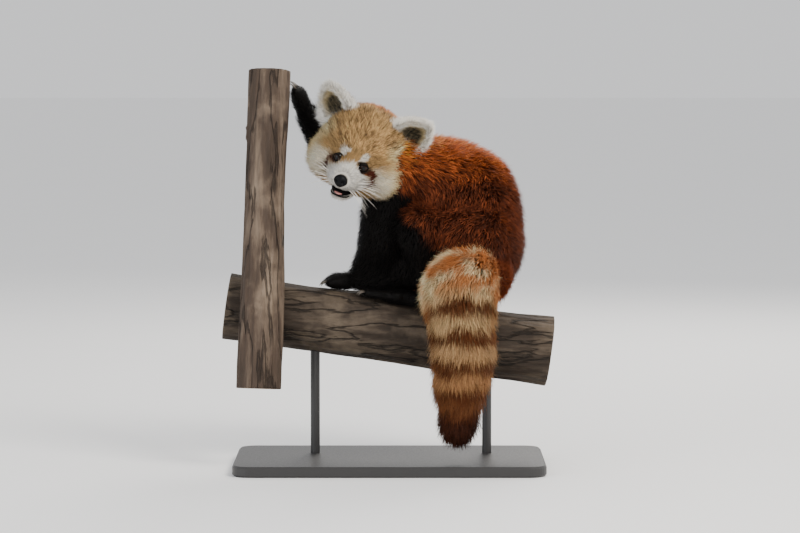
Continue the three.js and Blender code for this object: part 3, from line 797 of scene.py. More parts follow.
def scatter(obj, count, seed, keep=None):
    """Even random roots on a mesh: places in millimetres, outward directions and places on its layout."""
    mesh = obj.data
    mesh.calc_loop_triangles()
    n = len(mesh.loop_triangles)
    tri = read(mesh.loop_triangles, "vertices", 3, np.int32)
    loops = read(mesh.loop_triangles, "loops", 3, np.int32)
    co = vertices(mesh) / MM
    normal = read(mesh.vertices, "normal", 3)
    uv = read(mesh.uv_layers["OFBake"].data, "uv", 2)
    a, b, c = co[tri[:, 0]], co[tri[:, 1]], co[tri[:, 2]]
    area = np.linalg.norm(np.cross(b - a, c - a), axis=1)
    if keep is not None:
        area = area * keep((a + b + c) / 3)
    rng = np.random.default_rng(seed)
    edges = np.cumsum(area)
    even = (np.arange(count) + rng.random(count)) / count * edges[-1]
    pick = np.clip(np.searchsorted(edges, even), 0, n - 1)
    u, v = rng.random(count), rng.random(count)
    over = u + v > 1
    u[over], v[over] = 1 - u[over], 1 - v[over]
    w = np.stack([1 - u - v, u, v], axis=1)[:, :, None]
    places = (co[tri[pick]] * w).sum(1)
    out = unit((normal[tri[pick]] * w).sum(1))
    return places, out, (uv[loops[pick]] * w).sum(1), rng


def mesh_of(name, co, faces, rgb, uv, material):
    """A mesh from arrays: many small tufts at once, each face a triangle."""
    mesh = bpy.data.meshes.new(name)
    mesh.vertices.add(len(co))
    mesh.vertices.foreach_set("co", (co * MM).astype(np.float32).ravel())
    mesh.loops.add(faces.size)
    mesh.loops.foreach_set("vertex_index", faces.astype(np.int32).ravel())
    mesh.polygons.add(len(faces))
    mesh.polygons.foreach_set("loop_start", np.arange(0, faces.size, 3, dtype=np.int32))
    mesh.polygons.foreach_set("use_smooth", [True] * len(faces))
    mesh.update(calc_edges=True)
    paint(mesh, rgb)
    layer = mesh.uv_layers.new(name="OFBake")
    layer.data.foreach_set("uv", uv[faces.ravel()].astype(np.float32).ravel())
    mesh.materials.append(material)
    obj = bpy.data.objects.new(name, mesh)
    bpy.context.scene.collection.objects.link(obj)
    return obj


def settled(field, p, proud):
    """Points outside the coat's surface, drawn back to just above it."""
    over = field(p) - proud
    out = over > 0
    if out.any():
        q = p[out]
        p = p.copy()
        p[out] = q - over[out][:, None] * gradient(field, q)
    return p


TUFT_SIDES = 3
TUFT_FLATNESS = 0.45  # how thick a tuft is, as a share of its width
TUFT_SINK = 0.8  # how far under the skin a tuft is rooted
TUFT_PATCH = 0.003  # how wide a tuft's patch on the layout is


def tuft_faces(bent):
    """One tuft's triangles: its base, its sides and its point, and between them a bend or none."""
    point = TUFT_SIDES * (2 if bent else 1)
    faces = [(0, 1, 2)]
    for k in range(TUFT_SIDES):
        after = (k + 1) % TUFT_SIDES
        if bent:
            faces += [(k, TUFT_SIDES + k, TUFT_SIDES + after), (k, TUFT_SIDES + after, after)]
        faces.append((point - TUFT_SIDES + k, point, point - TUFT_SIDES + after))
    return np.array(faces)


def tufts(name, places, out, uv, rng, *, lie, length, width, rise, droop, rgb, tip, clump=9.0,
          surface=None, proud=2.0, shades=(0.5, 0.9), vary=0.1, bent=True):
    """Tapered tufts, rooted under the skin, that rise along the lie and bend over, or stay straight.

    rise and droop are angles off the skin, clump is how wide a lock of like tufts is, proud is how far the
    tips pass the surface, and shades and tip are how bright the root, the middle and the tip are.
    """
    n = len(places)
    out = unit(out)
    flow = unit(lie - (lie * out).sum(1, keepdims=True) * out)
    side = np.cross(out, flow)
    drift = wobble(places, clump, 3) * 0.30 + rng.normal(0, 0.13, n)
    flow = unit(flow + side * drift[:, None])
    side = unit(np.cross(out, flow))
    lift = rise * (1 + 0.22 * wobble(places, clump * 1.3, 6) + rng.normal(0, 0.12, n))
    lift = np.clip(lift, 0.06, 1.4)[:, None]
    length = (length * (1 + rng.normal(0, 0.13, n)))[:, None]
    width = (width * (1 + rng.normal(0, 0.15, n)))[:, None]
    first = flow * np.cos(lift) + out * np.sin(lift)
    bend = np.clip(lift - droop, -0.5, 1.4)
    second = flow * np.cos(bend) + out * np.sin(bend)
    root = places - out * TUFT_SINK
    mid = root + first * length * 0.5
    if surface:
        mid = settled(surface, mid, rng.normal(-2.0, 1.2, n))
    end = mid + second * length * 0.5
    if surface:
        end = settled(surface, end, proud * rng.normal(0.2, 0.7, n))
    shade = 1 + rng.normal(0, vary, n) + 0.10 * wobble(places, clump * 0.8, 9)
    base = rgb * np.clip(shade, 0.35, 1.8)[:, None]
    levels = [(root, width * 0.5, shades[0])] + ([(mid, width * 0.42, shades[1])] if bent else [])
    corners, tints = [], []
    up = np.cross(first, side) * TUFT_FLATNESS
    for centre, r, share in levels:
        for k in range(TUFT_SIDES):
            angle = 2 * math.pi * (k + 0.25) / TUFT_SIDES
            corners.append(centre + r * (side * math.cos(angle) + up * math.sin(angle)))
            tints.append(base * share)
    co = np.stack(corners + [end], axis=1).reshape(-1, 3)
    tint = np.stack(tints + [base * tip], axis=1).reshape(-1, 3)
    points = len(corners) + 1
    faces = (tuft_faces(bent)[None] + (np.arange(n) * points)[:, None, None]).reshape(-1, 3)
    around = np.linspace(0, 2 * math.pi, points, endpoint=False)
    patch = np.stack([np.cos(around), np.sin(around)], axis=1) * TUFT_PATCH / 2
    tuft_uv = (uv[:, None, :] + patch[None]).reshape(-1, 2)
    return mesh_of(name, co, faces, np.clip(tint, 0, 1), np.clip(tuft_uv, 0, 1), coat_material())


def fur_material(name):
    """Hair: the painted tint with a fine grain."""
    m = Shader(name, roughness=0.62, Specular_IOR_Level=0.14)
    grain = m.ramp(m.noise(m.place(), 700.0, 2.0), [(0.3, (0.62, 0.6, 0.58)), (0.7, (1.0, 1.0, 1.0))])
    tint = m.mix(0.35, m.attribute("Tint"), grain, "MULTIPLY")
    return m.feed(Base_Color=tint, Normal=m.bump(m.noise(m.place(), 1400.0, 2.0), 0.25, 0.0004))


def finish(obj, replaces=()):
    """Let a piece ride on the one body, in place of the nodes that it replaces."""
    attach(obj, "root")
    if replaces:
        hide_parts(*replaces)
    return obj


# The coat's lie: how the hair runs over each form

TAIL_ROOT = (138, 5, Z + 20)
CROUP = (112, Z + 130)  # X and Z of where the hair starts to run down the thighs


def hair_lines():
    """The lengths that the hair of the body runs along, each from its start to its end."""
    spine = [BODY[name] for name in ("nape", "neck", "withers", "loin", "rump")] + [TAIL_ROOT]
    lines = list(zip(spine, spine[1:])) + [(BODY["chest"], BODY["belly"])]
    for fore in (NEAR_FORE, FAR_FORE):
        joints = [fore[name] for name in ("shoulder", "elbow", "wrist", "palm", "toes")]
        lines += zip(joints, joints[1:])
    for hind in (NEAR_HIND, FAR_HIND):
        lines += [((CROUP[0], hind["hip"][1], CROUP[1]), hind["knee"]), (hind["knee"], hind["ankle"]),
                  (hind["heel"], hind["toes"])]
    return lines


def body_lie(p, out):
    """The hair runs from the neck to the rump, down the flank and down each leg."""
    total = np.zeros_like(p)
    for a, b in hair_lines():
        d = np.array(b, float) - np.array(a, float)
        d = d / np.linalg.norm(d)
        weight = np.exp(-np.maximum(limb(a, b, 20, 20)(p), 0) / 16)
        total += weight[:, None] * d
    down_flank = np.array([0.35, 0.0, -0.8])
    flank = smoothstep(p[:, 2], Z + 60, Z + 120) * smoothstep(p[:, 0], 0, 40) * (1 - np.abs(out[:, 2]))
    return unit(total) + down_flank * (0.8 * flank)[:, None]


def head_lie(p):
    """The hair runs back from the nose, up over the brow and out over the cheeks."""
    q = to_local(HEAD_FRAME, p)
    away = q - np.array([0, -80, -18])
    away[:, 0] *= 1.5
    away[:, 2] -= 14 * smoothstep(np.abs(q[:, 0]), 20, 55) * (1 - smoothstep(q[:, 2], 0, 26))
    m = np.array(HEAD_FRAME)[:3, :3]
    return away @ m.T


def ear_lie(p, sign):
    """The hair fans out from the ear's base."""
    q = to_local(ear_frame(sign), p)
    away = np.stack([q[:, 0] * 1.2, np.zeros(len(q)) - 2, q[:, 2] + EAR["half"][2] * 0.9], axis=1)
    return away @ np.array(ear_frame(sign))[:3, :3].T


# Settings

class PandaSettings(bpy.types.PropertyGroup):
    """What the panel lets the user set before the pieces are made"""

    tuft_count: IntProperty(
        name="Body tufts", description="How many tufts the body carries", default=29000, min=1000)
    head_tufts: IntProperty(
        name="Head tufts", description="How many tufts the head carries", default=24000, min=1000)
    tail_tufts: IntProperty(
        name="Tail tufts", description="How many tufts the tail carries", default=22000, min=1000)
    skin_cell: FloatProperty(
        name="Skin detail", description="Grid size of the skin", default=0.0032, unit="LENGTH")
    whisker_length: FloatProperty(
        name="Whisker", description="Length of the longest whisker", default=0.055, unit="LENGTH")
    iris_colour: FloatVectorProperty(
        name="Iris", description="Colour of the iris", default=linear(0x3A2010), subtype="COLOR")
    stand_colour: FloatVectorProperty(
        name="Stand", description="Paint of the display stand", default=linear(0x2B2A2A), subtype="COLOR")
    floor_colour: FloatVectorProperty(
        name="Floor", description="Colour of the floor", default=(0.93, 0.93, 0.93), subtype="COLOR")
    light_power: FloatProperty(
        name="Light", description="Strength of the main light", default=95.0, unit="POWER")


# Skins

MADE = {}  # the one coat material, once it is made
SKIN = {}  # the finished skins, which the coat is grown on


def coat_material():
    """The hair's material, which the skins and every piece of the coat share."""
    if "coat" not in MADE:
        MADE["coat"] = fur_material("coat")
    return MADE["coat"]


class PANDA_OT_skin(bpy.types.Operator):
    """Model the skin under the coat, for the body, tail, head and ears"""

    bl_idname = "panda.skin"
    bl_label = "Skin"

    def execute(self, context):
        cell = context.scene.panda.skin_cell / MM
        still = Matrix.Identity(4)
        body = [(kind, sizes, still) for _, prims in forms(1).values() for kind, *sizes in prims]
        self.skin("body", body, body_field(1, 8), cell, body_colour, BODY_NODES, "fur_rust")
        radii = np.maximum(TAIL_RADIUS - DEPTH["tail"], THINNEST_TAIL)
        tail = [("ball", (tuple(c), (r, r, r)), still) for c, r in zip(TAIL_LINE[::3], radii[::3])]
        self.skin("tail", tail, tail_field(DEPTH["tail"]), cell, tail_colour, TAIL_NODES, "fur_tail")
        head = [(kind, sizes, HEAD_FRAME) for _, prims in head_forms(1) for kind, *sizes in prims]
        self.skin("head", head, head_world(1), cell * 0.55, head_colour, ["head"], "fur_white")
        in_head = field_of(8, jaw_forms(1))
        jaw = [(kind, sizes, HEAD_FRAME) for kind, *sizes in jaw_forms(1)]
        self.skin("jaw", jaw, lambda p: in_head(to_local(HEAD_FRAME, p)), cell * 0.5, head_colour, ["jaw"],
                  "fur_white")
        for side, sign in SIDES:
            SKIN[f"ear_{side}"] = finish(ear_skin(side, sign), [f"ear_{side}"])
        return {"FINISHED"}

    def skin(self, name, prims, field, cell, colour, nodes, slot):
        """One skin in place of the nodes of flesh that it covers."""
        SKIN[name] = finish(grown_skin(f"skin_{name}", prims, field, cell, colour), nodes)


def ear_skin(side, sign):
    """A rounded ear, dished in front, with a thin rim."""
    w, t, h = (half - coat for half, coat in zip(EAR["half"], (3, 2, 3)))
    bm = bmesh.new()
    bmesh.ops.create_icosphere(bm, subdivisions=5, radius=1, matrix=Matrix.Diagonal((w, t, h, 1)))
    cup_w, cup_h, cup_depth = w * 0.84, h * 0.86, t * 1.25
    for v in bm.verts:
        r = math.hypot(v.co.x / cup_w, (v.co.z - 1) / cup_h)
        if v.co.y < 0 and r < 1:
            front = -t * math.sqrt(max(0, 1 - (v.co.x / w) ** 2 - (v.co.z / h) ** 2))
            v.co.y = front + cup_depth * math.sqrt(1 - r * r)
    bmesh.ops.smooth_vert(bm, verts=bm.verts, factor=0.5, use_axis_x=True, use_axis_y=True, use_axis_z=True)
    for v in bm.verts:
        v.co.x *= 1.0 - EAR["taper"] * v.co.z / h
    in_place(bm, ear_frame(sign))
    obj = object_from(bm, f"skin_ear_{side}", coat_material())
    paint(obj.data, ear_colour(vertices(obj.data) / MM, sign))
    unwrap(obj)
    return obj


# Coat

def depth_at(outer, places):
    """How far each root lies under the tips of the coat."""
    return np.maximum(-outer(places), 0.5)


class PANDA_OT_coat(bpy.types.Operator):
    """Grow the coat: solid tufts along the lie of the hair, in the same markings as the skin"""

    bl_idname = "panda.coat"
    bl_label = "Coat"

    def execute(self, context):
        s = context.scene.panda
        share = 1.0
        body_coat(int(s.tuft_count * share), share)
        tail_coat(int(s.tail_tufts * share), share)
        head_coat(int(s.head_tufts * share), share)
        ear_coat(share)
        return {"FINISHED"}


PIECE_FACES = 180000  # the most triangles in one piece of coat
HAIRS = 1.9  # straight hairs to each bent tuft
HAIR_WIDTH = 0.62  # of a bent tuft's width
EAR_TUFTS = 4500  # on each ear
JAW_TUFTS = 1500
FIRST_SEED = 100
JAW_SEED = 77


def grown_coat(name, total, share, build):
    """A coat in pieces of an even number of tufts, with finer straight hairs among them."""
    wide = 1 / math.sqrt(share)
    for bent, label, number, fine in ((True, "", total, 1.0), (False, "_hairs", total * HAIRS, HAIR_WIDTH)):
        pieces = max(1, math.ceil(number * len(tuft_faces(bent)) / PIECE_FACES))
        for i in range(pieces):
            seed = FIRST_SEED + 7 * i + 50 * (not bent)
            finish(build(f"{name}{label}_{i + 1}", int(number / pieces), seed, bent, fine * wide))


HIDDEN = 6  # roots this deep inside another skin are left out


def body_coat(total, share):
    """Plush, speckled hair, short on the legs and up to 30 mm long on the back."""

    def open_skin(p):
        return (head_world(1)(p) > -HIDDEN) & (tail_field(DEPTH["tail"])(p) > -HIDDEN)

    def build(name, count, seed, bent, wide):
        places, out, uv, rng = scatter(SKIN["body"], count, seed, open_skin)
        depth = depth_at(OUTER["body"], places)
        rise = np.clip(0.46 + 0.03 * depth, 0.45, 1.0)
        length = np.clip(depth / np.sin(rise - 0.12) * 1.05, 5, 30) * (1.0 if bent else 0.92)
        width = np.clip(0.085 * length, 0.9, 2.0) * wide
        return tufts(name, places, out, uv, rng, lie=body_lie(places, out), length=length, width=width,
                     rise=rise + 0.12 * (not bent), droop=0.3, rgb=body_colour(places),
                     tip=2.1 if bent else 2.7, clump=7, surface=OUTER["body"], proud=3.0,
                     shades=(0.2, 0.62), vary=0.28 if bent else 0.4, bent=bent)

    grown_coat("coat_body", total, share, build)


TAIL_LEAD = 34  # how far along the tail from its root a tuft's colour is read, as its tip lies there


def tail_coat(total, share):
    """Long hair that stands well off the tail and runs along it."""

    def build(name, count, seed, bent, wide):
        places, out, uv, rng = scatter(SKIN["tail"], count, seed)
        i = tail_place(places)
        depth = depth_at(OUTER["tail"], places)
        lie = TAIL_ALONG[i]
        hanging = smoothstep(TAIL_T[i], 0.16, 0.4)
        rise = 0.42 + 0.34 * hanging + 0.1 * (not bent)
        length = np.clip(depth / np.sin(rise - 0.12), 8, 40)
        width = np.full(len(places), 1.9 * wide)
        rgb = tail_colour(places + lie * TAIL_LEAD)
        return tufts(name, places, out, uv, rng, lie=lie, length=length, width=width,
                     rise=rise, droop=0.3, rgb=rgb, tip=1.5 if bent else 1.8,
                     clump=9, surface=OUTER["tail"], proud=5.0 if bent else 7.0, shades=(0.3, 0.78),
                     vary=0.12 if bent else 0.24, bent=bent)

    grown_coat("coat_tail", total, share, build)


def head_coat(total, share):
    """Short, flat hair on the face, longer on the cheeks and crown, and a little on the jaw."""

    def open_skin(p):
        q = to_local(HEAD_FRAME, p)
        bare = (near(one_side(q), *SOCKET) <= 1) | (by_nose(q) <= 0.97)
        denser_in_front = 1 + 1.6 * smoothstep(-q[:, 1], 10, 40)
        return ~bare * denser_in_front * (body_field(1, 8)(p) > -HIDDEN - 2)

    def build(name, count, seed, bent, wide):
        places, out, uv, rng = scatter(SKIN["head"], count, seed, open_skin)
        q = to_local(HEAD_FRAME, places)
        depth = depth_at(OUTER["head"], places)
        face = smoothstep(-q[:, 1], 24, 58)
        crown = smoothstep(q[:, 2] + 0.2 * q[:, 1], -2, 18)
        cheek = smoothstep(np.abs(q[:, 0]), 28, 46) * (1 - smoothstep(q[:, 2], 0, 20))
        rise = np.clip(0.26 + 0.03 * depth, 0.2, 0.6) * (1 - 0.25 * face) + 0.24 * crown + 0.05 * (not bent)
        longer = 1.05 + 0.3 * cheek + 0.15 * crown
        length = np.clip(depth / np.sin(rise * 0.8) * longer, 2.4, 26)
        by_eye = smoothstep(near(one_side(q), *SOCKET), 1.0, 1.8)
        length = length * (0.5 + 0.5 * by_eye) * (1 - 0.4 * mark(one_side(q), "short_brow", 0.6, 1.2))
        width = np.clip(0.11 * length, 0.5, 1.2) * wide * (1 + 0.2 * crown)
        return tufts(name, places, out, uv, rng, lie=head_lie(places), length=length, width=width,
                     rise=rise, droop=0.2, rgb=head_colour(places),
                     tip=(1.35 if bent else 1.6) + 0.4 * crown[:, None],
                     clump=5, surface=OUTER["head"], proud=2.0 + 3.5 * crown + 2.0 * cheek,
                     shades=(0.4, 0.82), vary=0.08 + 0.2 * crown + 0.1 * (not bent), bent=bent)

    grown_coat("coat_head", total, share, build)
    places, out, uv, rng = scatter(SKIN["jaw"], int(JAW_TUFTS * share), JAW_SEED)
    chin = to_local(HEAD_FRAME, places)[:, 2] < -45
    places, out, uv = places[chin], out[chin], uv[chin]
    finish(tufts("coat_jaw", places, out, uv, rng, lie=head_lie(places), length=np.full(len(places), 5.0),
                 width=np.full(len(places), 0.8 / math.sqrt(share)), rise=0.4, droop=0.2,
                 rgb=head_colour(places), tip=1.2, clump=6))


def ear_coat(share):
    """Hair that fans out from each ear's base, shorter over its dark hollow."""

    def build(name, count, seed, bent, wide, side, sign):
        places, out, uv, rng = scatter(SKIN[f"ear_{side}"], count, seed + sign)
        q = to_local(ear_frame(sign), places)
        w, _, h = EAR["half"]
        front = (out @ np.array(ear_frame(sign))[:3, 1] < 0).astype(float)
        dark = (1 - smoothstep(np.hypot(q[:, 0] / w, q[:, 2] / h), 0.3, 0.6)) * front
        length = 10 + 6 * (1 - smoothstep(q[:, 2], -22, 8)) - 1.5 * front - 2.5 * dark + 3 * (not bent)
        return tufts(name, places, out, uv, rng, lie=ear_lie(places, sign), length=length,
                     width=np.full(len(places), wide), rise=0.5 + 0.3 * front, droop=0.3,
                     rgb=ear_colour(places, sign), tip=1.3, clump=5, shades=(0.75, 0.9),
                     vary=0.12 if bent else 0.3, bent=bent)

    for side, sign in SIDES:
        grown_coat(f"coat_ear_{side}", int(EAR_TUFTS * share), share,
                   lambda *args, side=side, sign=sign: build(*args, side, sign))


# Small forms

def ball(name, centre, radii, matrix, material):
    """An ellipsoid of its own, in a frame given."""
    bm = bmesh.new()
    bmesh.ops.create_uvsphere(bm, u_segments=48, v_segments=32, radius=1)
    in_place(bm, matrix @ Matrix.Translation(centre) @ Matrix.Diagonal((*radii, 1)))
    return object_from(bm, name, material)


def tube(bm, path, radii, sides, closed=False):
    """A round bar along a path, from rings bridged one after another."""
    path = [Vector(p) for p in path]
    rings = []
    n = len(path)
    for i, p in enumerate(path):
        ahead = path[(i + 1) % n] if closed or i < n - 1 else p
        behind = path[i - 1] if closed or i > 0 else p
        turn = (ahead - behind).to_track_quat("Z", "Y").to_matrix().to_4x4()
        ring = bmesh.ops.create_circle(bm, cap_ends=False, segments=sides, radius=radii[i],
                                       matrix=Matrix.Translation(p) @ turn)["verts"]
        rings.append(list(dict.fromkeys(e for v in ring for e in v.link_edges)))
    pairs = list(zip(rings, rings[1:])) + ([(rings[-1], rings[0])] if closed else [])
    for a, b in pairs:
        bmesh.ops.bridge_loops(bm, edges=a + b)
    if not closed:
        for ring in (rings[0], rings[-1]):
            bmesh.ops.edgeloop_fill(bm, edges=[e for e in ring if e.is_boundary])


# Face

GAZE = (0.28, -0.95, 0.02)  # for the animal's left eye
GAZE_SPAN = 1.2  # the angle from the gaze, in radians, that counts as one on the eye's map
RIM = {"steps": 40, "wide": 0.93, "above": 0.68, "below": 0.62, "tilt": 0.10, "turn": 0.34, "lift": 0.25}
NOSTRIL = {"out": 0.46, "down": 0.02, "wide": 2.6, "high": 2.3, "depth": 4.2}
CLEFT = {"half_width": 0.9, "depth": 1.2}
LIPS = (  # name, height, reach to each side, depth, rise at the corners, drop in the middle
    ("upper_lip", -36.5, 15, 22, 1.6, 1.2),
    ("lower_lip", -44.5, 14, 21.5, -1.6, 0),
)
LIP_STEPS = 32
WHISKERS = 20  # on each side
WHISKERS_IN_ROW = 4
WHISKER_SAG = 9  # how far a tip hangs down
WHISKER_SEED = 5
WHISKER_RADII = (0.3, 0.28, 0.25, 0.2, 0.13, 0.04)


def eye_material(colour):
    """A dark brown iris round a black pupil, under a wet surface, read from the eye's own map."""
    m = Shader("eye", roughness=0.05, Specular_IOR_Level=0.22)
    at = m.attribute("Gaze", "Fac")
    streak = m.noise(m.place(), 900.0, 2.0)
    iris = m.mix(streak, tuple(c * 0.5 for c in colour), tuple(c * 0.2 for c in colour))
    ring = m.mix(at.band(0.34, 0.40), (0.002, 0.0015, 0.001), iris)
    return m.feed(Base_Color=m.mix(at.band(0.62, 0.72), ring, (0.004, 0.003, 0.002)))


def skin_material(name, colour, roughness, scale, depth, shine):
    """Bare moist skin with a pebbled surface."""
    m = Shader(name, roughness=roughness, Specular_IOR_Level=shine)
    n = m.noise(m.place(), scale * 0.3, 3.0)
    cells = m.node("ShaderNodeTexVoronoi", {}, {"Vector": m.place(), "Scale": scale})
    tone = m.mix(n, tuple(c * 0.7 for c in colour), tuple(min(1, c * 1.3) for c in colour))
    return m.feed(Base_Color=tone, Normal=m.bump(cells, 0.5, depth))


class PANDA_OT_face(bpy.types.Operator):
    """Model the eyes with their lids' rims, the nose, lips, tongue, mouth lining and whiskers"""

    bl_idname = "panda.face"
    bl_label = "Face"

    def execute(self, context):
        s = context.scene.panda
        leather = skin_material("nose_skin", linear(0x050507), 0.42, 1500.0, 0.0003, 0.12)
        lip = skin_material("lip_skin", linear(0x070504), 0.6, 1200.0, 0.0002, 0.06)
        for side, sign in SIDES:
            self.eye(side, sign, eye_material(s.iris_colour))
            self.lids(side, sign, lip)
        self.nose(leather)
        self.mouth(lip)
        self.whiskers(s.whisker_length / MM)
        return {"FINISHED"}

    def eye(self, side, sign, material):
        """The eyeball, with each point's angle from the gaze as its map."""
        centre = (sign * EYE["x"], EYE["y"], EYE["z"])
        globe = ball(f"eyeball_{side}", centre, [EYE["radius"]] * 3, HEAD_FRAME, material)
        q = to_local(HEAD_FRAME, vertices(globe.data) / MM) - np.array(centre)
        gaze = unit(np.array([[sign * GAZE[0], GAZE[1], GAZE[2]]]))[0]
        angle = np.arccos(np.clip(unit(q) @ gaze, -1, 1))
        layer = globe.data.attributes.new("Gaze", "FLOAT", "POINT")
        layer.data.foreach_set("value", (angle / GAZE_SPAN).astype(np.float32))
        finish(globe, [f"eye_{side}"])

    def lids(self, side, sign, lip):
        """The dark rim of the lids, a closed bar that lies on the eyeball."""
        centre = Vector((sign * EYE["x"], EYE["y"], EYE["z"]))
        r = EYE["radius"]
        tilt = sign * RIM["tilt"]
        path = []
        for i in range(RIM["steps"]):
            a = 2 * math.pi * i / RIM["steps"]
            across = math.cos(a) * r * RIM["wide"]
            up = math.sin(a) * r * RIM["above" if math.sin(a) > 0 else "below"]
            x = across * math.cos(tilt) - up * math.sin(tilt)
            z = across * math.sin(tilt) + up * math.cos(tilt)
            y = -math.sqrt(max(r * r - x * x - z * z, 0)) - RIM["lift"]
            path.append(Matrix.Rotation(sign * RIM["turn"], 3, "Z") @ Vector((x, y, z)) + centre)
        bm = bmesh.new()
        tube(bm, path, [1.0] * RIM["steps"], 10, closed=True)
        in_place(bm, HEAD_FRAME)
        finish(object_from(bm, f"eyelid_{side}", lip))

    def nose(self, leather):
        """Bare leather, narrower below, with two nostrils and a cleft between them."""
        bm = bmesh.new()
        bmesh.ops.create_uvsphere(bm, u_segments=48, v_segments=32, radius=1)
        w, t, h = NOSE["size"]
        for v in bm.verts:
            x, y, z = v.co
            taper = 1 - 0.24 * float(smoothstep(-z, 0, 1))
            v.co = Vector((x * w * taper, y * t, z * h))
            for side in (-1, 1):
                across = (v.co.x - side * w * NOSTRIL["out"]) / NOSTRIL["wide"]
                up = (v.co.z + h * NOSTRIL["down"]) / NOSTRIL["high"]
                if v.co.y < 0:
                    v.co.y += NOSTRIL["depth"] * math.exp(-across ** 2 - up ** 2)
            if v.co.y < 0:
                lower = float(smoothstep(-v.co.z, -2, 4))
                v.co.y += CLEFT["depth"] * math.exp(-(v.co.x / CLEFT["half_width"]) ** 2) * lower
        in_place(bm, HEAD_FRAME @ Matrix.Translation(NOSE["centre"]))
        finish(object_from(bm, "nose_leather", leather), ["nose"])

    def mouth(self, lip):
        """A slightly open mouth: the tongue, the dark lining round it, and the two lips."""
        pink = skin_material("tongue_skin", linear(0xC08078), 0.32, 900.0, 0.0003, 0.5)
        tongue = ball("tongue_body", (0, -53, -41.5), (9, 18, 3), HEAD_FRAME, pink)
        finish(tongue, ["tongue"])
        finish(ball("mouth_lining", (0, -46, -41), (15, 22, 6.5), HEAD_FRAME, lip))
        turns = [math.pi * i / LIP_STEPS for i in range(LIP_STEPS + 1)]
        radii = [0.4 + 0.7 * math.sqrt(max(0, math.sin(a))) for a in turns]
        for name, height, reach, depth, rise, drop in LIPS:
            path = []
            for a in turns:
                z = height + rise * abs(math.cos(a)) - drop * math.sin(a)
                path.append(Vector((math.cos(a) * reach, -48 - depth * math.sin(a), z)))
            bm = bmesh.new()
            tube(bm, path, radii, 10)
            in_place(bm, HEAD_FRAME)
            finish(object_from(bm, name, lip))

    def whiskers(self, longest):
        """Pale whiskers in rows on each side of the muzzle, bent down by their own weight."""
        m = Shader("whisker", roughness=0.35)
        pale = m.feed(Base_Color=m.mix(m.noise(m.place(), 60.0), linear(0xF4F0E8), linear(0xD8D0C4)))
        rng = np.random.default_rng(WHISKER_SEED)
        last = len(WHISKER_RADII) - 1
        bm = bmesh.new()
        for sign in (-1, 1):
            for i in range(WHISKERS):
                row, place = divmod(i, WHISKERS_IN_ROW)
                root = Vector((sign * (12 + 2.4 * place), -66 + 4.0 * place, -22 - 2.4 * row))
                reach = longest * (0.55 + 0.45 * rng.random())
                aim = Vector((sign * (0.6 + 0.7 * rng.random()), 0.1 + 0.7 * rng.random(),
                              0.4 - 0.28 * row + 0.3 * rng.random()))
                aim.normalize()
                path = []
                for step in range(last + 1):
                    t = step / last
                    path.append(root + aim * reach * t - Vector((0, 0, WHISKER_SAG * t * t)))
                tube(bm, path, WHISKER_RADII, 5)
        in_place(bm, HEAD_FRAME)
        finish(object_from(bm, "whiskers", pale))


# Claws

PAWS = (  # name, palm or heel, toes, radius, the way across the paw, the way its pads face
    ("fore_left", NEAR_FORE["palm"], NEAR_FORE["toes"], 16, (0, 1, 0), None),
    ("fore_right", FAR_FORE["palm"], FAR_FORE["toes"], 16, (0.2, 1, 0), (-1, 0, 0)),
    ("hind_left", NEAR_HIND["heel"], NEAR_HIND["toes"], 15, (0, 1, 0), None),
    ("hind_right", FAR_HIND["heel"], FAR_HIND["toes"], 15, (0, 1, 0), None),
)
CLAW = {"apart": 9, "length": 10, "hook": 7, "radii": (1.7, 1.6, 1.35, 0.9, 0.2)}


class PANDA_OT_claws(bpy.types.Operator):
    """Model the hooked claws of the four paws"""

    bl_idname = "panda.claws"
    bl_label = "Claws"

    def execute(self, context):
        m = Shader("claw", roughness=0.3)
        horn = m.feed(Base_Color=m.mix(m.noise(m.place(), 260.0), linear(0x5E554A), linear(0x3A332B)))
        for name, start, end, radius, across, pads in PAWS:
            toes = Vector(end)
            along = (toes - Vector(start)).normalized()
            side = Vector(across).normalized()
            down = side.cross(along).normalized()
            if down.z > 0:
                down = -down
            if pads:
                down = Vector(pads)
            bm = bmesh.new()
            for i in TOES:
                root = toes + side * i * CLAW["apart"] + along * (radius * 0.3 - abs(i) * 2.5) - down * 1.5
                path = []
                for step in range(len(CLAW["radii"])):
                    t = step / (len(CLAW["radii"]) - 1)
                    path.append(root + along * CLAW["length"] * t + down * CLAW["hook"] * t * t)
                tube(bm, path, CLAW["radii"], 10)
            in_place(bm, Matrix.Identity(4))
            finish(object_from(bm, f"claws_{name}", horn))
        return {"FINISHED"}


# Log and stem

def bark_material(name, dark, pale, grain_scale, turn):
    """Weathered bark: long fibres, cracks and paler worn patches."""
    m = Shader(name, roughness=0.85, Specular_IOR_Level=0.25)
    fibre = m.noise(m.place(grain_scale, turn), 38.0, 8.0, 0.65)
    fine = m.noise(m.place(tuple(3 * g for g in grain_scale), turn), 90.0, 6.0, 0.6)
    patch = m.noise(m.place(), 16.0, 5.0)
    ridge = m.noise(m.place(tuple(0.6 * g for g in grain_scale), turn), 46.0, 5.0, 0.5)
    middle = m.node("ShaderNodeMath", {"operation": "ABSOLUTE"}, {0: ridge - 0.5})
    split = 1 - middle.band(0.0, 0.022)
    base = m.ramp(fibre, [(0.28, tuple(0.45 * c for c in dark)), (0.5, dark), (0.75, pale)])
    worn = m.mix(patch.band(0.5, 0.72) * 0.55, base, tuple(min(1, 1.15 * c) for c in pale))
    colour = m.mix(split * 0.75, worn, tuple(0.25 * c for c in dark))
    height = fibre * 0.8 + fine * 0.35 - split * 0.9
    dull = fine.band(0.2, 0.8) * 0.2 + 0.7
    return m.feed(Base_Color=colour, Normal=m.bump(height, 0.9, 0.004), Roughness=dull)


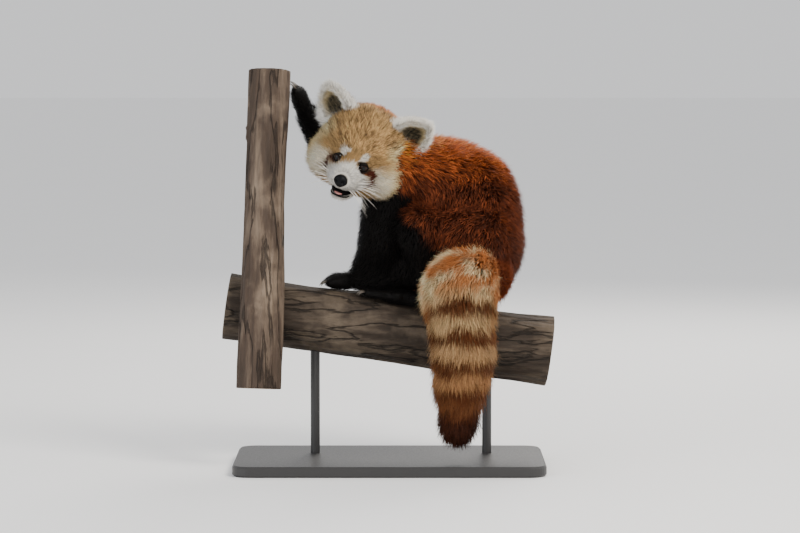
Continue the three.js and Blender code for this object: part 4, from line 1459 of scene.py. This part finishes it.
def end_material():
    """Sawn end: growth rings round the branch's axis, worn patches and a dark edge of bark."""
    m = Shader("sawn_end", roughness=0.8)
    rings = m.noise(m.place(), 28.0, 3.0)
    from_axis = m.attribute("Ring", "Fac")
    grow = m.node("ShaderNodeMath", {"operation": "SINE"}, {0: from_axis * 52.0 + rings * 16.0})
    tone = m.mix(grow.band(-0.8, 0.9), linear(0x9A7C58), linear(0xB09068))
    worn = m.mix(m.noise(m.place(), 90.0, 5.0).band(0.4, 0.7) * 0.5, tone, linear(0x7C6448))
    tone = m.mix(from_axis.band(0.86, 0.91), worn, linear(0x4A3B2C))
    return m.feed(Base_Color=tone, Normal=m.bump(grow, 0.2, 0.0005))


AROUND = 120  # points round a branch
RING_STEP = 3.2  # between the rings along a branch
SAW = {"inset": 1.5, "depth": 0.6}


class PANDA_OT_perch(bpy.types.Operator):
    """Model the log and the upright stem with bark relief and sawn ends"""

    bl_idname = "panda.perch"
    bl_label = "Perch"

    def execute(self, context):
        rise = math.atan2(LOG["right"][2] - LOG["left"][2], LOG["right"][0] - LOG["left"][0])
        log_bark = bark_material(
            "log_bark", linear(0x382F27), linear(0x6C5F50), grain_scale=(0.18, 1, 1), turn=(0, -rise, 0))
        stem_bark = bark_material(
            "stem_bark", linear(0x4A3D33), linear(0x857463), grain_scale=(1, 1, 0.12), turn=(0, 0, 0))
        stem_radii = (STEM["radius"], STEM["radius"] * 0.97)
        self.branch("perch_log", LOG["left"], LOG["right"], LOG["radii"], 1.3, log_bark, [(0.42, 4.4, 15)])
        self.branch("perch_stem", STEM["foot"], STEM["top"], stem_radii, 4.1, stem_bark,
                    [(0.24, -1.55, 9), (0.8, -0.4, 7)])
        return {"FINISHED"}

    def branch(self, node, start, end, radii, phase, bark, knots):
        """A branch grown ring by ring, with its relief, its knots and two sawn ends."""
        length = (Vector(end) - Vector(start)).length
        steps = int(length / RING_STEP)
        bm = bmesh.new()
        first = bmesh.ops.create_circle(bm, cap_ends=False, segments=AROUND, radius=radii[0],
                                        matrix=Matrix.Translation((0, 0, -length / 2)))["verts"]
        edges = list(bm.edges)
        for _ in range(steps):
            grown = bmesh.ops.extrude_edge_only(bm, edges=edges)["geom"]
            edges = [g for g in grown if isinstance(g, bmesh.types.BMEdge)]
            last = [g for g in grown if isinstance(g, bmesh.types.BMVert)]
            bmesh.ops.translate(bm, vec=(0, 0, length / steps), verts=last)
        for v in bm.verts:
            turn = math.atan2(-v.co.y, v.co.x)
            share = v.co.z / length + 0.5
            r = radii[0] + (radii[1] - radii[0]) * share
            r = r * self.swell(turn, v.co.z, phase) + self.furrow(turn, v.co.z, phase)
            for at, angle, size in knots:
                across = ((turn - angle + math.pi) % (2 * math.pi) - math.pi) * r
                d = math.hypot(across, (share - at) * length) / size
                r += 2.2 * math.exp(-((d - 1) * 2.2) ** 2) - 2.0 * math.exp(-(d * 2.2) ** 2)
            v.co.x = math.cos(turn) * r
            v.co.y = -math.sin(turn) * r
        for ring in (set(first), set(last)):
            rim = [e for e in bm.edges if e.is_boundary and e.verts[0] in ring]
            cap = bmesh.ops.edgeloop_fill(bm, edges=rim, mat_nr=1)["faces"]
            bmesh.ops.inset_individual(bm, faces=cap, thickness=SAW["inset"], depth=SAW["depth"])
            bmesh.ops.poke(bm, faces=cap)
        bmesh.ops.recalc_face_normals(bm, faces=bm.faces)
        from_axis = bm.verts.layers.float.new("Ring")
        for v in bm.verts:
            v[from_axis] = math.hypot(v.co.x, v.co.y) / radii[0]
        in_place(bm, standing(Vector(start), Vector(end)))
        obj = object_from(bm, f"{node}_bark", bark)
        obj.data.materials.append(end_material())
        finish(obj, [node])

    def swell(self, turn, along, phase):
        """How much thicker than round a branch is, in a few slow waves."""
        lobes = 0.035 * math.sin(2 * turn + phase + along * 0.009)
        ridges = 0.022 * math.sin(5 * turn + phase * 2 + along * 0.02)
        return 1 + lobes + ridges + 0.03 * math.sin(along * 0.017 + phase)

    def furrow(self, turn, along, phase):
        """The fine ridges of the bark, in millimetres from the branch's radius."""
        coarse = math.sin(turn * 17 + 1.6 * math.sin(along * 0.03 + turn * 2) + phase)
        fine = 0.6 * math.sin(turn * 31 + 2.2 * math.sin(along * 0.021 + turn * 3))
        return 0.65 * (coarse + fine) - 0.9


# Stand

class PANDA_OT_stand(bpy.types.Operator):
    """Finish the stand's base and rods"""

    bl_idname = "panda.stand"
    bl_label = "Stand"

    def execute(self, context):
        colour = context.scene.panda.stand_colour
        m = Shader("stand_paint", roughness=0.45)
        speck = m.noise(m.place(), 420.0, 3.0)
        tone = m.mix(speck, tuple(c * 0.85 for c in colour), tuple(min(1, c * 1.2) for c in colour))
        paint_finish = m.feed(Base_Color=tone, Normal=m.bump(speck, 0.2, 0.0002),
                              Roughness=speck.band(0.2, 0.8) * 0.12 + 0.38)
        for node in ("stand_base", "stand_rod_1", "stand_rod_2"):
            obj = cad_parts[node]
            obj.data.materials.clear()
            obj.data.materials.append(paint_finish)
        return {"FINISHED"}


# Stage

AIM = Vector((0.0075, 0, 0.297))
DISTANCE = 4.5
ELEVATION = 4.0  # in degrees
LENS = 135.0
SENSOR = 36
LIT = Vector((0, 0, 0.35))  # what the lights point at
LIGHTS = (  # name, place, size, share of the power, colour
    ("key", (1.6, -1.9, 2.3), 1.3, 1.0, (1.0, 0.95, 0.87)),
    ("fill", (-2.6, -2.2, 1.3), 2.2, 0.42, (0.9, 0.95, 1.0)),
    ("back", (0.8, 2.2, 2.0), 1.4, 0.5, (1.0, 0.95, 0.88)),
)
SKY = (0.96, 0.965, 0.98, 1)
SKY_STRENGTH = 0.92


class PANDA_OT_stage(bpy.types.Operator):
    """Set the floor, the soft lights and the camera"""

    bl_idname = "panda.stage"
    bl_label = "Stage"

    def execute(self, context):
        s = context.scene.panda
        self.floor(s.floor_colour)
        for name, place, size, share, colour in LIGHTS:
            light = bpy.data.lights.new(name, "AREA")
            light.energy = s.light_power * share
            light.size = size
            light.color = colour
            turn = (LIT - Vector(place)).to_track_quat("-Z", "Y").to_euler()
            self.placed(name, light, place, turn)
        world = bpy.data.worlds.new("studio")
        world.use_nodes = True
        background = world.node_tree.nodes["Background"]
        background.inputs["Color"].default_value = SKY
        background.inputs["Strength"].default_value = SKY_STRENGTH
        context.scene.world = world
        camera = bpy.data.cameras.new("camera")
        camera.lens = LENS
        camera.sensor_width = SENSOR
        tilt = math.radians(ELEVATION)
        place = AIM + DISTANCE * Vector((0, -math.cos(tilt), math.sin(tilt)))
        context.scene.camera = self.placed("camera", camera, place, (math.pi / 2 - tilt, 0, 0))
        return {"FINISHED"}

    def floor(self, colour):
        """A wide, flat floor of one pale colour."""
        bm = bmesh.new()
        bmesh.ops.create_grid(bm, x_segments=8, y_segments=8, size=40)
        m = Shader("floor", roughness=0.9)
        tone = m.mix(m.noise(m.place(), 3.0), tuple(c * 0.98 for c in colour), tuple(colour))
        object_from(bm, "floor", m.feed(Base_Color=tone), smooth=False)

    def placed(self, name, data, place, turn):
        """An object for a light or a camera, put in its place."""
        obj = bpy.data.objects.new(name, data)
        bpy.context.scene.collection.objects.link(obj)
        obj.location = place
        obj.rotation_euler = turn
        return obj


# Panel and registration

OPERATORS = [
    PANDA_OT_skin,
    PANDA_OT_coat,
    PANDA_OT_face,
    PANDA_OT_claws,
    PANDA_OT_perch,
    PANDA_OT_stand,
    PANDA_OT_stage,
]


class PANDA_PT_panel(bpy.types.Panel):
    """The pieces, in the order they are made"""

    bl_idname = "PANDA_PT_panel"
    bl_label = "Red Panda"
    bl_space_type = "VIEW_3D"
    bl_region_type = "UI"
    bl_category = "Red Panda"

    def draw(self, context):
        for name in PandaSettings.__annotations__:
            self.layout.prop(context.scene.panda, name)
        for operator in OPERATORS:
            self.layout.operator(operator.bl_idname)


CLASSES = [PandaSettings, *OPERATORS, PANDA_PT_panel]


def register():
    for cls in CLASSES:
        bpy.utils.register_class(cls)
    bpy.types.Scene.panda = PointerProperty(type=PandaSettings)


def unregister():
    del bpy.types.Scene.panda
    for cls in reversed(CLASSES):
        bpy.utils.unregister_class(cls)


def main():
    """Make every piece in order."""
    register()
    bpy.ops.panda.skin()
    bpy.ops.panda.coat()
    bpy.ops.panda.face()
    bpy.ops.panda.claws()
    bpy.ops.panda.perch()
    bpy.ops.panda.stand()
    bpy.ops.panda.stage()


if __name__ == "__main__":
    main()
